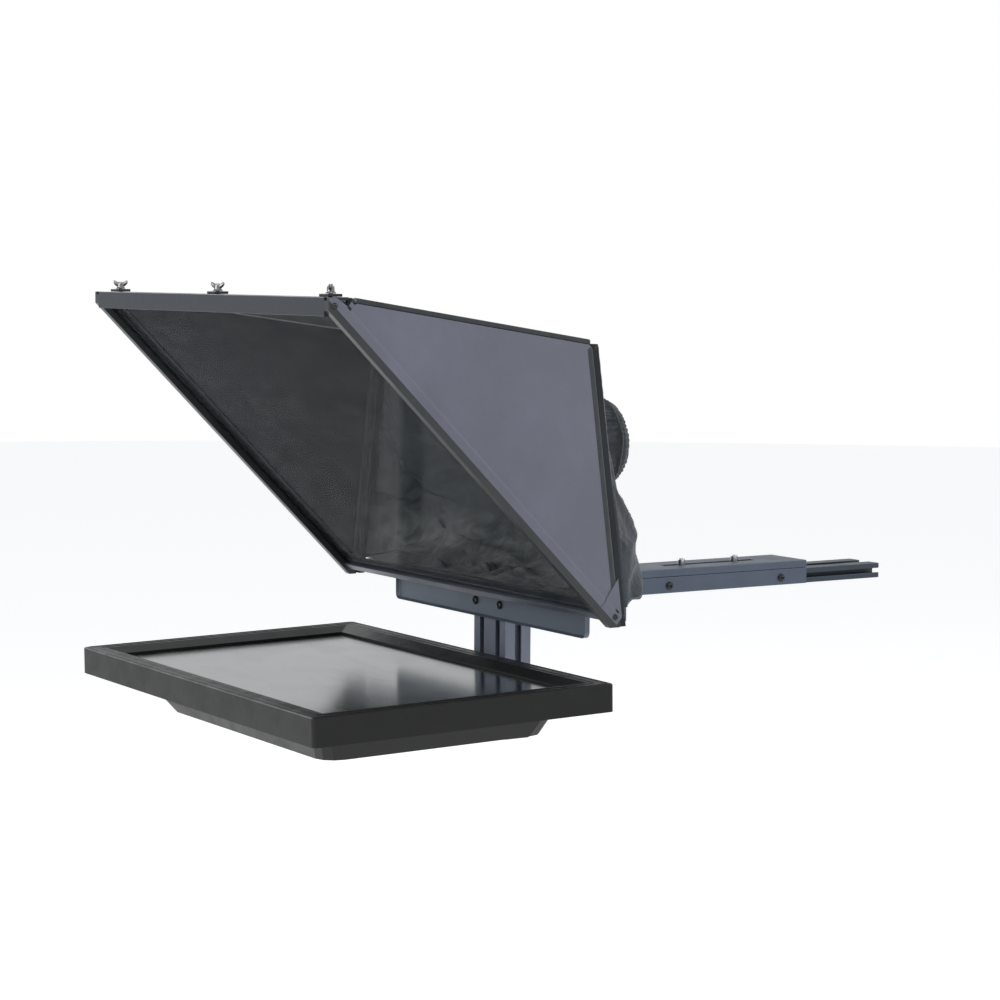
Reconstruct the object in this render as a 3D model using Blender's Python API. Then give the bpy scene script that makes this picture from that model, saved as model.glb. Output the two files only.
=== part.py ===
"""Studio teleprompter.

A folding hood stands round a sheet of part-silvered glass at 45 degrees. A flat monitor lies face up
in front of it, on an arm from a column. A rail runs back from the column and carries the sliding
carriage on which the camera stands, and a cloth shroud closes the gap round the camera's lens.

Metres, +Z up. The talent is on the -Y side and the camera on the +Y side. The origin is on the flat
underside of the rail, where a tripod head's plate bears.
"""
import math

import bmesh
import bpy
from mathutils import Vector

GAP = 0.0003                     # clearance between pieces that touch
SLOPE = math.sqrt(0.5)           # cosine of the glass's 45 degrees

# The rail and the camera carriage.
RAIL_HALF = 0.025
RAIL_HEIGHT = 0.016
RAIL_REAR = 0.397
RAIL_CHANNEL_FLOOR = 0.010
SIDE_SLOT_Z = 0.008
CARRIAGE_FRONT = 0.0695
CARRIAGE_REAR = 0.2905
CARRIAGE_PLATE = 0.008
CHEEK_THICKNESS = 0.005
CHEEK_SCREW_Y = (0.1075, 0.2555)
LOCK_KNOB_Y = 0.180
CAMERA_SLOT = (0.120, 0.240)

# The hood. Its datum is the bottom corner, where the glass frame meets the hood's open back.
HOOD_Y = -0.110
HOOD_Z = 0.0055
HOOD_RISE = 0.306                # reach and height of the glass frame
HOOD_BACK_TOP = 0.2655           # height of the open back
BOTTOM_HALF = 0.253              # half widths: at the bottom, at the top of the glass, at the top of the back
FRONT_HALF = 0.248
BACK_HALF = 0.20175
FRAME_FRONT = -0.008             # the frame bars' faces, along the glass's normal
FRAME_BACK = 0.0055
FRAME_BAR = 0.008
GROOVE_WALL = 0.003
GLASS_HALF = 0.0015
GROOVE_HALF = 0.0018
GLASS_LOW = 0.0160               # the seats for the glass's ends, up the slope
GLASS_HIGH = 0.4204
TOP_BAR_DEPTH = 0.025
TOP_BAR_HEIGHT = 0.0165
FLANGE = 0.003
BASE_BAR_BOTTOM = 0.0034
BASE_BAR_TOP = 0.0165
BASE_BAR_REAR = 0.0150
BASE_BAR_STEP = 0.0090
LIP_BOTTOM = 0.0127              # the base bar's front lip, up the slope
LIP_TOP = 0.0205
PANEL_THICKNESS = 0.0024
FLAP_THICKNESS = 0.0042
HINGE_ROD = 0.0010
SIDE_HINGE_N = 0.0071            # the side hinges' distance behind the glass plane
PANEL_LOW = 0.02155              # a side panel's lower edge, up the slope, which folds in over the base bar
TOP_HINGE_Y = -0.2783
FLAP_FRONT_Y = -0.2753
HOOP_FRONT = 0.0003
HOOP_REAR = 0.0070
HOOP_BAR = 0.008
THUMBSCREW_X = (-0.222, 0.0, 0.222)
THUMBSCREW_Y = -0.2895
CLIP_THICKNESS = 0.0025
CORNER_SCREW_BASE = (-0.0060, 0.0100)
CORNER_SCREW_TOP = (-0.3000, 0.2985)

# The cross bar that carries the hood, and the column that carries the monitor.
CROSSBAR_HALF = 0.18075
CROSSBAR_FRONT = 0.0093
CROSSBAR_REAR = 0.0150
CROSSBAR_TOP = 0.0083
CROSSBAR_HEIGHT = 0.0235
CROSSBAR_RECESS = 0.0035
CROSSBAR_BOLT_X = (-0.023, 0.023)
COLUMN_WIDTH = 0.060
COLUMN_DEPTH = 0.030
COLUMN_FRONT = HOOD_Y + CROSSBAR_REAR + GAP
COLUMN_REAR = COLUMN_FRONT + COLUMN_DEPTH
COLUMN_BOTTOM = -0.1335
COLUMN_SLOT_X = (-0.015, 0.015)
SLOT_MOUTH = 0.008
SLOT_WIDTH = 0.014
SLOT_LIP = 0.002
SLOT_DEPTH = 0.0065
BRACKET_LEG = 0.004
BRACKET_REACH = 0.032

# The monitor, its tilt axis, its arm and the slide on the column.
SLIDE_LOW = -0.128
SLIDE_HIGH = -0.092
SLIDE_PLATE = 0.007
SLIDE_CHEEK = 0.006
SLIDE_FRONT = COLUMN_FRONT - GAP - SLIDE_PLATE
ARM_BOTTOM = -0.130
ARM_TOP = -0.115
ARM_HALF = 0.020
TILT_Y = -0.272
TILT_Z = -0.115
REST_TILT = math.radians(1.0)
TILT_PIN = 0.004
EAR_INNER = 0.0208
EAR_OUTER = 0.0248
MONITOR_HALF = 0.250
MONITOR_FRONT = -0.1585
MONITOR_BACK = 0.1591
BEZEL_BOTTOM = 0.0383
BEZEL_TOP = 0.0648
BEZEL_RIM = 0.018
SCREEN_INSET = 0.0325
SCREEN_RECESS = 0.005
BEZEL_WALL = 0.0035
LCD_TOP = 0.0573
LCD_BOTTOM = 0.0500
HUMP_BOTTOM = 0.0183
VESA_HALF = 0.058
VESA_LOW = 0.0150
BUTTON_Y = (-0.060, -0.040, -0.020, 0.000)
BUTTON_Z = 0.0455

# The cloth shroud behind the hood.
SHROUD_WALL = 0.003
SHROUD_SIDES = 32
SHROUD_STATIONS = (0.0073, 0.022, 0.040, 0.058, 0.074, 0.090, 0.105, 0.132, 0.150, 0.158)
SLEEVE_START = 0.105
SLEEVE_END = 0.150
SLEEVE_RADIUS = 0.046            # the round sleeve, which the elastic draws in to the mouth
MOUTH_RADIUS = 0.041
LENS_HEIGHT = 0.153

materials = {}


def clear_scene():
    for old in list(bpy.data.objects):
        bpy.data.objects.remove(old, do_unlink=True)


def material(name, colour, roughness, metallic=0.0):
    if name not in materials:
        made = bpy.data.materials.new(name)
        made.use_nodes = True
        shader = made.node_tree.nodes["Principled BSDF"]
        shader.inputs["Base Color"].default_value = (*colour, 1.0)
        shader.inputs["Roughness"].default_value = roughness
        shader.inputs["Metallic"].default_value = metallic
        materials[name] = made
    return materials[name]


def anodised():
    return material("slate_anodised", (0.080, 0.095, 0.125), 0.45, 0.5)


def dark_steel():
    return material("dark_steel", (0.040, 0.040, 0.045), 0.35, 0.9)


def bright_steel():
    return material("bright_steel", (0.62, 0.62, 0.64), 0.20, 1.0)


def hood_board():
    return material("hood_board", (0.140, 0.145, 0.190), 0.85)


def shroud_cloth():
    return material("shroud_cloth", (0.017, 0.023, 0.032), 0.90)


def black_plastic():
    return material("black_plastic", (0.026, 0.026, 0.027), 0.35)


def nylon():
    return material("black_nylon", (0.030, 0.030, 0.030), 0.55)


def mirror_glass():
    return material("mirror_glass", (0.55, 0.60, 0.60), 0.03)


def screen_glass():
    return material("screen_glass", (0.010, 0.010, 0.012), 0.08)


def circuit_board():
    return material("circuit_board", (0.020, 0.090, 0.040), 0.50)


# Shapes. Each adds one closed solid to a bmesh.

def loft(bm, loops):
    """Skin equal loops of points, with a flat cap on the first and on the last."""
    rings = [[bm.verts.new(point) for point in loop] for loop in loops]
    count = len(rings[0])
    for low, high in zip(rings, rings[1:]):
        for i in range(count):
            j = (i + 1) % count
            bm.faces.new((low[i], low[j], high[j], high[i]))
    bm.faces.new(list(reversed(rings[0])))
    bm.faces.new(rings[-1])


def closed_sleeve(bm, loops):
    """Skin equal loops of points and join the last to the first, for an open tube or a frame."""
    rings = [[bm.verts.new(point) for point in loop] for loop in loops]
    count = len(rings[0])
    for k, low in enumerate(rings):
        high = rings[(k + 1) % len(rings)]
        for i in range(count):
            j = (i + 1) % count
            bm.faces.new((low[i], low[j], high[j], high[i]))


def box(bm, low, high):
    (x0, y0, z0), (x1, y1, z1) = low, high
    loft(bm, [[(x0, y0, z), (x1, y0, z), (x1, y1, z), (x0, y1, z)] for z in (z0, z1)])


def prism_x(bm, outline, x0, x1):
    loft(bm, [[(x, y, z) for y, z in outline] for x in (x0, x1)])


def prism_y(bm, outline, y0, y1):
    loft(bm, [[(x, y, z) for x, z in outline] for y in (y0, y1)])


def prism_z(bm, outline, z0, z1):
    loft(bm, [[(x, y, z) for x, y in outline] for z in (z0, z1)])


def turned(bm, base, axis, profile, sides=16, wing=1.0, wing_from=1.0):
    """A solid of revolution: profile gives (distance along the axis, radius) from base.

    Past wing_from the section is narrowed by wing in one direction, for a thumb grip.
    """
    axis = Vector(axis).normalized()
    side = axis.orthogonal().normalized()
    other = axis.cross(side)
    loops = []
    for along, radius in profile:
        narrow = wing if along > wing_from else 1.0
        ring = []
        for i in range(sides):
            turn = math.tau * i / sides
            out = side * radius * math.cos(turn) + other * radius * narrow * math.sin(turn)
            ring.append(Vector(base) + axis * along + out)
        loops.append(ring)
    loft(bm, loops)


def rod(bm, start, end, radius, sides=14):
    span = Vector(end) - Vector(start)
    turned(bm, start, span, [(0.0, radius), (span.length, radius)], sides)


def rounded_rectangle(low, high, radius, steps=3):
    """Corner points of a rounded rectangle in X and Y, steps + 1 to each corner."""
    (x0, y0), (x1, y1) = low, high
    points = []
    for centre_x, centre_y, start in ((x1 - radius, y1 - radius, 0), (x0 + radius, y1 - radius, 90),
                                      (x0 + radius, y0 + radius, 180), (x1 - radius, y0 + radius, 270)):
        for step in range(steps + 1):
            turn = math.radians(start + 90 * step / steps)
            points.append((centre_x + radius * math.cos(turn), centre_y + radius * math.sin(turn)))
    return points


# Objects.

def finish(name, bm, skin, origin=(0.0, 0.0, 0.0), bevel=0.0, smooth=None, parent=None):
    """Turn a bmesh into a named object whose origin is at origin, under parent if one is given."""
    bmesh.ops.recalc_face_normals(bm, faces=bm.faces[:])
    bmesh.ops.translate(bm, verts=bm.verts[:], vec=-Vector(origin))
    mesh = bpy.data.meshes.new(name)
    bm.to_mesh(mesh)
    bm.free()
    mesh.materials.append(skin)
    made = bpy.data.objects.new(name, mesh)
    made.location = origin
    made.parent = parent
    bpy.context.scene.collection.objects.link(made)
    if smooth is not None:
        mesh.shade_smooth()
        mesh.set_sharp_from_angle(angle=math.radians(smooth))
    if bevel:
        rounding = made.modifiers.new("Edges", "BEVEL")
        rounding.width = bevel
        rounding.segments = 1
        rounding.limit_method = "ANGLE"
        rounding.angle_limit = math.radians(40)
    return made


def combine(target, bm, operation):
    """Cut the solids in bm from target, or weld them to it, in the frame of target's parent."""
    bmesh.ops.recalc_face_normals(bm, faces=bm.faces[:])
    tool_name = target.name + "_" + operation.lower()
    mesh = bpy.data.meshes.new(tool_name)
    bm.to_mesh(mesh)
    bm.free()
    tool = bpy.data.objects.new(tool_name, mesh)
    tool.parent = target.parent
    bpy.context.scene.collection.objects.link(tool)
    tool.hide_render = True
    tool.display_type = "WIRE"
    step = target.modifiers.new(operation.title(), "BOOLEAN")
    step.operation = operation
    step.solver = "EXACT"
    step.object = tool


def cut(target, bm):
    combine(target, bm, "DIFFERENCE")


def weld(target, bm):
    combine(target, bm, "UNION")


def make_screw(name, seat, into, head, shank, length):
    """A button-head screw on a seat, its shank running along into."""
    into = Vector(into).normalized()
    profile = [(-0.60 * head, 0.55 * head), (-0.30 * head, head), (0.0, head), (0.0, shank),
               (length, shank)]
    bm = bmesh.new()
    turned(bm, Vector(seat) - into * GAP, into, profile, 14)
    finish(name, bm, dark_steel(), smooth=35)


# The hood's own directions.

def hood_point(x, y, z):
    return Vector((x, y + HOOD_Y, z + HOOD_Z))


def hood_outline(points):
    return [(y + HOOD_Y, z + HOOD_Z) for y, z in points]


def from_slope(s, n):
    """Hood Y and Z of a point s up the glass's slope and n behind the glass plane."""
    return ((n - s) * SLOPE, (n + s) * SLOPE)


def slope_point(x, s, n):
    return hood_point(x, *from_slope(s, n))


def half_width(s):
    """Half the glass frame's outer width, s up the slope."""
    return BOTTOM_HALF + (FRONT_HALF - BOTTOM_HALF) * s * SLOPE / HOOD_RISE


def side_x(y, z):
    """Outer face of a side panel: the plane through the hood's three side corners."""
    per_z = (BACK_HALF - BOTTOM_HALF) / HOOD_BACK_TOP
    per_y = (BOTTOM_HALF - FRONT_HALF + per_z * HOOD_RISE) / HOOD_RISE
    return BOTTOM_HALF + per_y * y + per_z * z


def flap_top(y):
    """Height of the roof's upper face, from the top bar's rear edge down to the open back."""
    front = TOP_BAR_DEPTH - HOOD_RISE
    return HOOD_BACK_TOP + (HOOD_RISE - HOOD_BACK_TOP) * y / front


# The rail, the cross bar and the column.

def make_rail():
    """A flat bar with a T-slot in each side for the carriage and a channel on top for camera screws."""
    mouth_low, mouth_high = SIDE_SLOT_Z - 0.0025, SIDE_SLOT_Z + 0.0025
    wide_low, wide_high = SIDE_SLOT_Z - 0.0045, SIDE_SLOT_Z + 0.0045
    lip, floor = RAIL_HALF - 0.003, RAIL_HALF - 0.0105
    right = [(RAIL_HALF, 0.0), (RAIL_HALF, mouth_low), (lip, mouth_low), (lip, wide_low), (floor, wide_low),
             (floor, wide_high), (lip, wide_high), (lip, mouth_high), (RAIL_HALF, mouth_high),
             (RAIL_HALF, RAIL_HEIGHT), (0.008, RAIL_HEIGHT), (0.008, RAIL_CHANNEL_FLOOR)]
    left = [(-x, z) for x, z in reversed(right)]
    bm = bmesh.new()
    prism_y(bm, right + left, COLUMN_REAR + GAP, RAIL_REAR)
    made = finish("main_rail", bm, anodised(), bevel=0.0004)
    holes = bmesh.new()
    for y in (-0.022, 0.022):
        rod(holes, (0.0, y, -0.001), (0.0, y, 0.0075), 0.0042)
    cut(made, holes)


def slotted_outline(width, depth, slots):
    """A rectangle about the origin with T-slots: slots lists (side number, place along the side)."""
    corners = [Vector((-width / 2, -depth / 2)), Vector((width / 2, -depth / 2)),
               Vector((width / 2, depth / 2)), Vector((-width / 2, depth / 2))]
    steps = ((-SLOT_MOUTH, 0.0), (-SLOT_MOUTH, SLOT_LIP), (-SLOT_WIDTH, SLOT_LIP), (-SLOT_WIDTH, SLOT_DEPTH),
             (SLOT_WIDTH, SLOT_DEPTH), (SLOT_WIDTH, SLOT_LIP), (SLOT_MOUTH, SLOT_LIP), (SLOT_MOUTH, 0.0))
    outline = []
    for side, start in enumerate(corners):
        end = corners[(side + 1) % 4]
        along = (end - start).normalized()
        inward = Vector((-along.y, along.x))
        outline.append(start)
        for place in sorted(place for number, place in slots if number == side):
            centre = (start + end) / 2 + along * place
            outline += [centre + along * across / 2 + inward * deep for across, deep in steps]
    return outline


def make_column():
    middle = (COLUMN_FRONT + COLUMN_REAR) / 2
    slots = [(side, x) for side in (0, 2) for x in COLUMN_SLOT_X] + [(1, 0.0), (3, 0.0)]
    outline = [(x, y + middle) for x, y in slotted_outline(COLUMN_WIDTH, COLUMN_DEPTH, slots)]
    bm = bmesh.new()
    prism_z(bm, outline, COLUMN_BOTTOM, CROSSBAR_TOP)
    made = finish("monitor_column", bm, anodised())
    holes = bmesh.new()
    for x in CROSSBAR_BOLT_X:
        rod(holes, (x, COLUMN_FRONT - 0.001, 0.0), (x, COLUMN_FRONT + 0.0079, 0.0), 0.0028)
    cut(made, holes)
    cap = bmesh.new()
    box(cap, (-COLUMN_WIDTH / 2, COLUMN_FRONT, COLUMN_BOTTOM - GAP - 0.003),
        (COLUMN_WIDTH / 2, COLUMN_REAR, COLUMN_BOTTOM - GAP))
    finish("column_end_cap", cap, nylon(), bevel=0.001)


def make_rail_bracket():
    """The angle that ties the rail's front end to the back of the column."""
    face, top, leg = COLUMN_REAR + GAP, -GAP, -GAP - BRACKET_LEG
    outline = [(face, top), (face, -BRACKET_REACH), (face + BRACKET_LEG, -BRACKET_REACH),
               (face + BRACKET_LEG, leg), (face + BRACKET_REACH, leg), (face + BRACKET_REACH, top)]
    bm = bmesh.new()
    prism_x(bm, outline, -0.024, 0.024)
    finish("rail_bracket", bm, anodised(), bevel=0.0005)


def make_crossbar():
    """A shallow tray with rounded lower corners, bolted to the front of the column under the hood."""
    low, radius = CROSSBAR_TOP - CROSSBAR_HEIGHT, 0.006
    outline = [(-CROSSBAR_HALF, CROSSBAR_TOP)]
    for centre, start in ((radius - CROSSBAR_HALF, 180), (CROSSBAR_HALF - radius, 270)):
        for step in range(5):
            turn = math.radians(start + step * 22.5)
            outline.append((centre + radius * math.cos(turn), low + radius + radius * math.sin(turn)))
    outline.append((CROSSBAR_HALF, CROSSBAR_TOP))
    bm = bmesh.new()
    prism_y(bm, outline, HOOD_Y + CROSSBAR_FRONT, HOOD_Y + CROSSBAR_REAR)
    bmesh.ops.recalc_face_normals(bm, faces=bm.faces[:])
    front = min(bm.faces, key=lambda face: face.calc_center_median().y)
    bmesh.ops.inset_region(bm, faces=[front], thickness=0.0025)
    bmesh.ops.translate(bm, verts=front.verts[:], vec=(0.0, CROSSBAR_RECESS, 0.0))
    made = finish("front_crossbar", bm, anodised(), bevel=0.0003)
    web = HOOD_Y + CROSSBAR_FRONT + CROSSBAR_RECESS
    holes = bmesh.new()
    for x, where in zip(CROSSBAR_BOLT_X, ("left", "right")):
        rod(holes, (x, web - 0.001, 0.0), (x, web + 0.004, 0.0), 0.0028)
        make_screw("crossbar_bolt_" + where, (x, web, 0.0), (0, 1, 0),
                   head=0.0043, shank=0.0025, length=0.0100)
    cut(made, holes)


# The glass and its frame.

def hoop_inner(z):
    return side_x(0.0, z) - 0.0006 - HOOP_BAR


def make_base_bar():
    """The frame's bottom bar: a seat and a front lip for the glass, and a flat underside on the cross bar."""
    lip = -0.0045
    points = [(BASE_BAR_REAR, BASE_BAR_BOTTOM), (BASE_BAR_REAR, BASE_BAR_TOP),
              (GROOVE_HALF / SLOPE - BASE_BAR_TOP, BASE_BAR_TOP)]
    for s, n in ((GLASS_LOW, GROOVE_HALF), (GLASS_LOW, -GROOVE_HALF), (LIP_TOP, -GROOVE_HALF), (LIP_TOP, lip),
                 (LIP_BOTTOM, lip)):
        points.append(from_slope(s, n))
    points += [(BASE_BAR_STEP, (LIP_BOTTOM + lip) * SLOPE), (BASE_BAR_STEP, BASE_BAR_BOTTOM)]
    end = half_width(LIP_TOP) - FRAME_BAR - GAP
    bm = bmesh.new()
    prism_x(bm, hood_outline(points), -end, end)
    made = finish("frame_base_bar", bm, anodised(), bevel=0.0003)
    holes = bmesh.new()
    hoop_end = hoop_inner(BASE_BAR_TOP) - GAP
    for side in (-1, 1):
        x0, x1 = sorted((side * hoop_end, side * (end + 0.002)))
        box(holes, hood_point(x0, 0.0, 0.0), hood_point(x1, BASE_BAR_REAR + 0.002, BASE_BAR_TOP + 0.002))
        rod(holes, hood_point(side * (end + 0.001), *CORNER_SCREW_BASE),
            hood_point(side * (end - 0.007), *CORNER_SCREW_BASE), 0.0018, 12)
    cut(made, holes)


def make_frame_side(side, name):
    """A side bar of the glass frame: a channel along the slope that holds the glass's edge."""
    section = [(0.0, FRAME_FRONT), (0.0, 0.0), (0.0, FRAME_BACK), (FRAME_BAR, FRAME_BACK),
               (FRAME_BAR, GROOVE_HALF), (GROOVE_WALL, GROOVE_HALF), (GROOVE_WALL, 0.0),
               (GROOVE_WALL, -GROOVE_HALF), (FRAME_BAR, -GROOVE_HALF), (FRAME_BAR, FRAME_FRONT)]
    bm = bmesh.new()
    rings = []
    for at_top in (False, True):
        ring = []
        for inward, n in section:
            s = HOOD_RISE / SLOPE - abs(n) if at_top else abs(n)
            ring.append(bm.verts.new(slope_point(side * (half_width(s) - inward), s, n)))
        rings.append(ring)
    for i in range(len(section)):
        j = (i + 1) % len(section)
        bm.faces.new((rings[0][i], rings[0][j], rings[1][j], rings[1][i]))
    for ring in rings:
        bm.faces.new(ring[1:7])
        bm.faces.new(ring[6:] + ring[:2])
    made = finish(name, bm, anodised(), bevel=0.0003)
    holes = bmesh.new()
    for place, half in ((CORNER_SCREW_BASE, BOTTOM_HALF), (CORNER_SCREW_TOP, FRONT_HALF)):
        outer, inner = side * (half + 0.002), side * (half - 0.010)
        rod(holes, hood_point(outer, *place), hood_point(inner, *place), 0.0018, 12)
    cut(made, holes)


def make_top_bar():
    """The frame's top bar: a rebate for the glass's top edge, under a thin flange for the thumbscrews."""
    low, flange = HOOD_RISE - TOP_BAR_HEIGHT, HOOD_RISE - FLANGE
    shoulder = from_slope(GLASS_HIGH, GROOVE_HALF + 0.0004)
    points = [(-HOOD_RISE, HOOD_RISE), (-HOOD_RISE, low), (-GROOVE_HALF / SLOPE - low, low),
              from_slope(GLASS_HIGH, -GROOVE_HALF), shoulder, (shoulder[0], flange),
              (TOP_BAR_DEPTH - HOOD_RISE, flange), (TOP_BAR_DEPTH - HOOD_RISE, HOOD_RISE)]
    end = FRONT_HALF - FRAME_BAR - GAP
    bm = bmesh.new()
    prism_x(bm, hood_outline(points), -end, end)
    made = finish("frame_top_bar", bm, anodised(), bevel=0.0003)
    holes = bmesh.new()
    for x in THUMBSCREW_X:
        low_end, high_end = (hood_point(x, THUMBSCREW_Y, z) for z in (flange - 0.004, HOOD_RISE + 0.001))
        rod(holes, low_end, high_end, 0.0023)
    for side in (-1, 1):
        rod(holes, hood_point(side * (end + 0.001), *CORNER_SCREW_TOP),
            hood_point(side * (end - 0.007), *CORNER_SCREW_TOP), 0.0018, 12)
    cut(made, holes)


def make_corner_screws():
    corners = (("low", CORNER_SCREW_BASE, BOTTOM_HALF), ("high", CORNER_SCREW_TOP, FRONT_HALF))
    for side, where in ((-1, "left"), (1, "right")):
        for level, place, half in corners:
            seat = hood_point(side * half, *place)
            make_screw(f"corner_screw_{where}_{level}", seat, (-side, 0, 0),
                       head=0.0028, shank=0.0015, length=0.013)


def make_glass():
    """The part-silvered sheet, let into all four bars."""
    loops = []
    for s in (GLASS_LOW + GAP, GLASS_HIGH - GAP):
        half = half_width(s) - GROOVE_WALL - GAP
        loops.append([slope_point(x, s, n) for x, n in ((-half, -GLASS_HALF), (half, -GLASS_HALF),
                                                         (half, GLASS_HALF), (-half, GLASS_HALF))])
    bm = bmesh.new()
    loft(bm, loops)
    finish("beam_splitter_glass", bm, mirror_glass())


def make_clips_and_thumbscrews():
    """Three thumbscrews on washer plates, through the top bar's flange, that press on the glass's back."""
    low, seat = HOOD_RISE + GAP, HOOD_RISE + GAP + CLIP_THICKNESS
    glass_back = GLASS_HALF / SLOPE - THUMBSCREW_Y
    stud = seat - (glass_back + 0.0020 + 0.0006)
    profile = [(-stud, 0.0014), (-stud + 0.0008, 0.0020), (0.0, 0.0020), (0.0, 0.0040), (0.0014, 0.0042),
               (0.0028, 0.0032), (0.0038, 0.0032), (0.0050, 0.0050), (0.0074, 0.0074), (0.0086, 0.0070)]
    for x, where in zip(THUMBSCREW_X, ("left", "centre", "right")):
        clip, hole = bmesh.new(), bmesh.new()
        box(clip, hood_point(x - 0.008, THUMBSCREW_Y - 0.0075, low),
            hood_point(x + 0.008, THUMBSCREW_Y + 0.0075, seat))
        rod(hole, hood_point(x, THUMBSCREW_Y, low - 0.001), hood_point(x, THUMBSCREW_Y, seat + 0.001), 0.0023)
        cut(finish("glass_clip_" + where, clip, nylon(), bevel=0.0005), hole)
        base = hood_point(x, THUMBSCREW_Y, seat + GAP)
        bm = bmesh.new()
        turned(bm, base, (0, 0, 1), profile, 18, wing=0.45, wing_from=0.0040)
        finish("thumbscrew_" + where, bm, bright_steel(), origin=base, smooth=40)


# The folding boards and their hinges.

def side_hinge(side, s):
    """A point of a side panel's hinge axis, in the middle of the panel's thickness."""
    y, z = from_slope(s, SIDE_HINGE_N)
    return hood_point(side * (side_x(y, z) - PANEL_THICKNESS / 2), y, z)


def make_side_panel(side, name):
    """A triangular board hinged along the frame's side bar, under the roof."""
    edge = SIDE_HINGE_N + HINGE_ROD + 0.0006
    clear = FLAP_THICKNESS + GAP + 0.0002
    bottom = from_slope(PANEL_LOW, edge)
    outline = [bottom, from_slope(0.4080, edge), (FLAP_FRONT_Y, flap_top(FLAP_FRONT_Y) - clear),
               (-GAP, flap_top(-GAP) - clear), (-GAP, bottom[1])]
    loops = []
    for depth in (0.0, PANEL_THICKNESS):
        loops.append([hood_point(side * (side_x(y, z) - depth), y, z) for y, z in outline])
    bm = bmesh.new()
    loft(bm, loops)
    finish(name, bm, hood_board(), origin=side_hinge(side, 0.2), bevel=0.0004)


def flap_hinge():
    return hood_point(0.0, TOP_HINGE_Y, flap_top(TOP_HINGE_Y) - FLAP_THICKNESS / 2)


def make_top_flap():
    """The hood's roof, lying on the side panels and hinged behind the top bar."""
    loops = []
    for y in (FLAP_FRONT_Y, -GAP):
        high = flap_top(y)
        low, half = high - FLAP_THICKNESS, side_x(y, high)
        section = ((-half, low), (half, low), (half, high), (-half, high))
        loops.append([hood_point(x, y, z) for x, z in section])
    bm = bmesh.new()
    loft(bm, loops)
    finish("hood_top_flap", bm, hood_board(), origin=flap_hinge(), bevel=0.0005)


def make_hinges():
    """The three hinge rods, each welded to the small lugs that hold it to the frame."""
    for side, name in ((-1, "left_hinge_rod"), (1, "right_hinge_rod")):
        bm = bmesh.new()
        rod(bm, side_hinge(side, 0.0095), side_hinge(side, 0.4145), HINGE_ROD, 10)
        made = finish(name, bm, dark_steel())
        lugs = bmesh.new()
        for s in (0.0105, 0.4090):
            footprint = ((0.0055, s), (0.0006, s), (0.0006, s + 0.0042), (0.0055, s + 0.0042))
            ends = []
            for n in (FRAME_BACK + GAP, SIDE_HINGE_N + 0.0025):
                ends.append([slope_point(side * (half_width(along) - inward), along, n)
                             for inward, along in footprint])
            loft(lugs, ends)
        weld(made, lugs)
    axis = flap_hinge()
    reach = FRONT_HALF - FRAME_BAR - 0.0015
    bm = bmesh.new()
    rod(bm, (-reach, axis.y, axis.z), (reach, axis.y, axis.z), HINGE_ROD, 10)
    made = finish("top_hinge_rod", bm, dark_steel())
    front = HOOD_Y + TOP_BAR_DEPTH - HOOD_RISE + GAP
    lugs = bmesh.new()
    for x in (0.003 - reach, 0.0, reach - 0.003):
        box(lugs, (x - 0.002, front, axis.z - 0.0019), (x + 0.002, axis.y + 0.0015, axis.z + 0.0019))
    weld(made, lugs)


def make_hoop():
    """The rear hoop: two leaning posts and a top rail that hold the shroud's edge open."""
    low_y, high_y = HOOD_Y + HOOP_FRONT, HOOD_Y + HOOP_REAR
    floor, roof = 0.0004, HOOD_BACK_TOP - FLAP_THICKNESS + 0.0004
    for side, name in ((-1, "hoop_left_post"), (1, "hoop_right_post")):
        outline = [(side * (hoop_inner(z) + across), z + HOOD_Z) for z, across in
                   ((floor, HOOP_BAR), (roof, HOOP_BAR), (roof, 0.0), (floor, 0.0))]
        bm = bmesh.new()
        prism_y(bm, outline, low_y, high_y)
        finish(name, bm, anodised(), bevel=0.0004)
    under = roof - HOOP_BAR
    low, high = hoop_inner(under) - GAP, hoop_inner(roof) - GAP
    outline = [(x, z + HOOD_Z) for x, z in ((-low, under), (low, under), (high, roof), (-high, roof))]
    bm = bmesh.new()
    prism_y(bm, outline, low_y, high_y)
    finish("hoop_top_rail", bm, anodised(), bevel=0.0004)


# The lens shroud.

def shroud_ring(y, trim):
    """A section of the shroud y behind the hood, trim inside its outer face.

    The section changes from the hoop's tapered opening to a round sleeve. Its lower part changes
    later than its upper part, so that slack cloth hangs in a belly under the lens.
    """
    start = SHROUD_STATIONS[0]
    blend = min(1.0, (y - start) / (SLEEVE_START - start))
    radius = SLEEVE_RADIUS if y <= SLEEVE_END else MOUTH_RADIUS
    roof, floor = HOOD_BACK_TOP - FLAP_THICKNESS - 0.0010, BASE_BAR_TOP + 0.0008
    centre = (roof + floor) / 2 * (1 - blend) + LENS_HEIGHT * blend
    points = []
    for i in range(SHROUD_SIDES):
        turn = math.tau * (i + 0.5) / SHROUD_SIDES
        across, up = math.cos(turn), math.sin(turn)
        square = 1.0 / max(abs(across), abs(up))
        ease = (0.6 * blend + 0.4 * blend * blend * (3 - 2 * blend)) ** (1.0 + 1.6 * max(0.0, -up))
        hoop_z = floor + (roof - floor) * (up * square + 1) / 2
        hoop_x = across * square * (side_x(0.0, hoop_z) - 0.0015)
        x = hoop_x * (1 - ease) + radius * across * ease
        z = hoop_z * (1 - ease) + (LENS_HEIGHT + radius * up) * ease
        length = math.hypot(x, z - centre)
        keep = (length - trim) / length
        points.append(hood_point(x * keep, y, centre + (z - centre) * keep))
    return points


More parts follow.
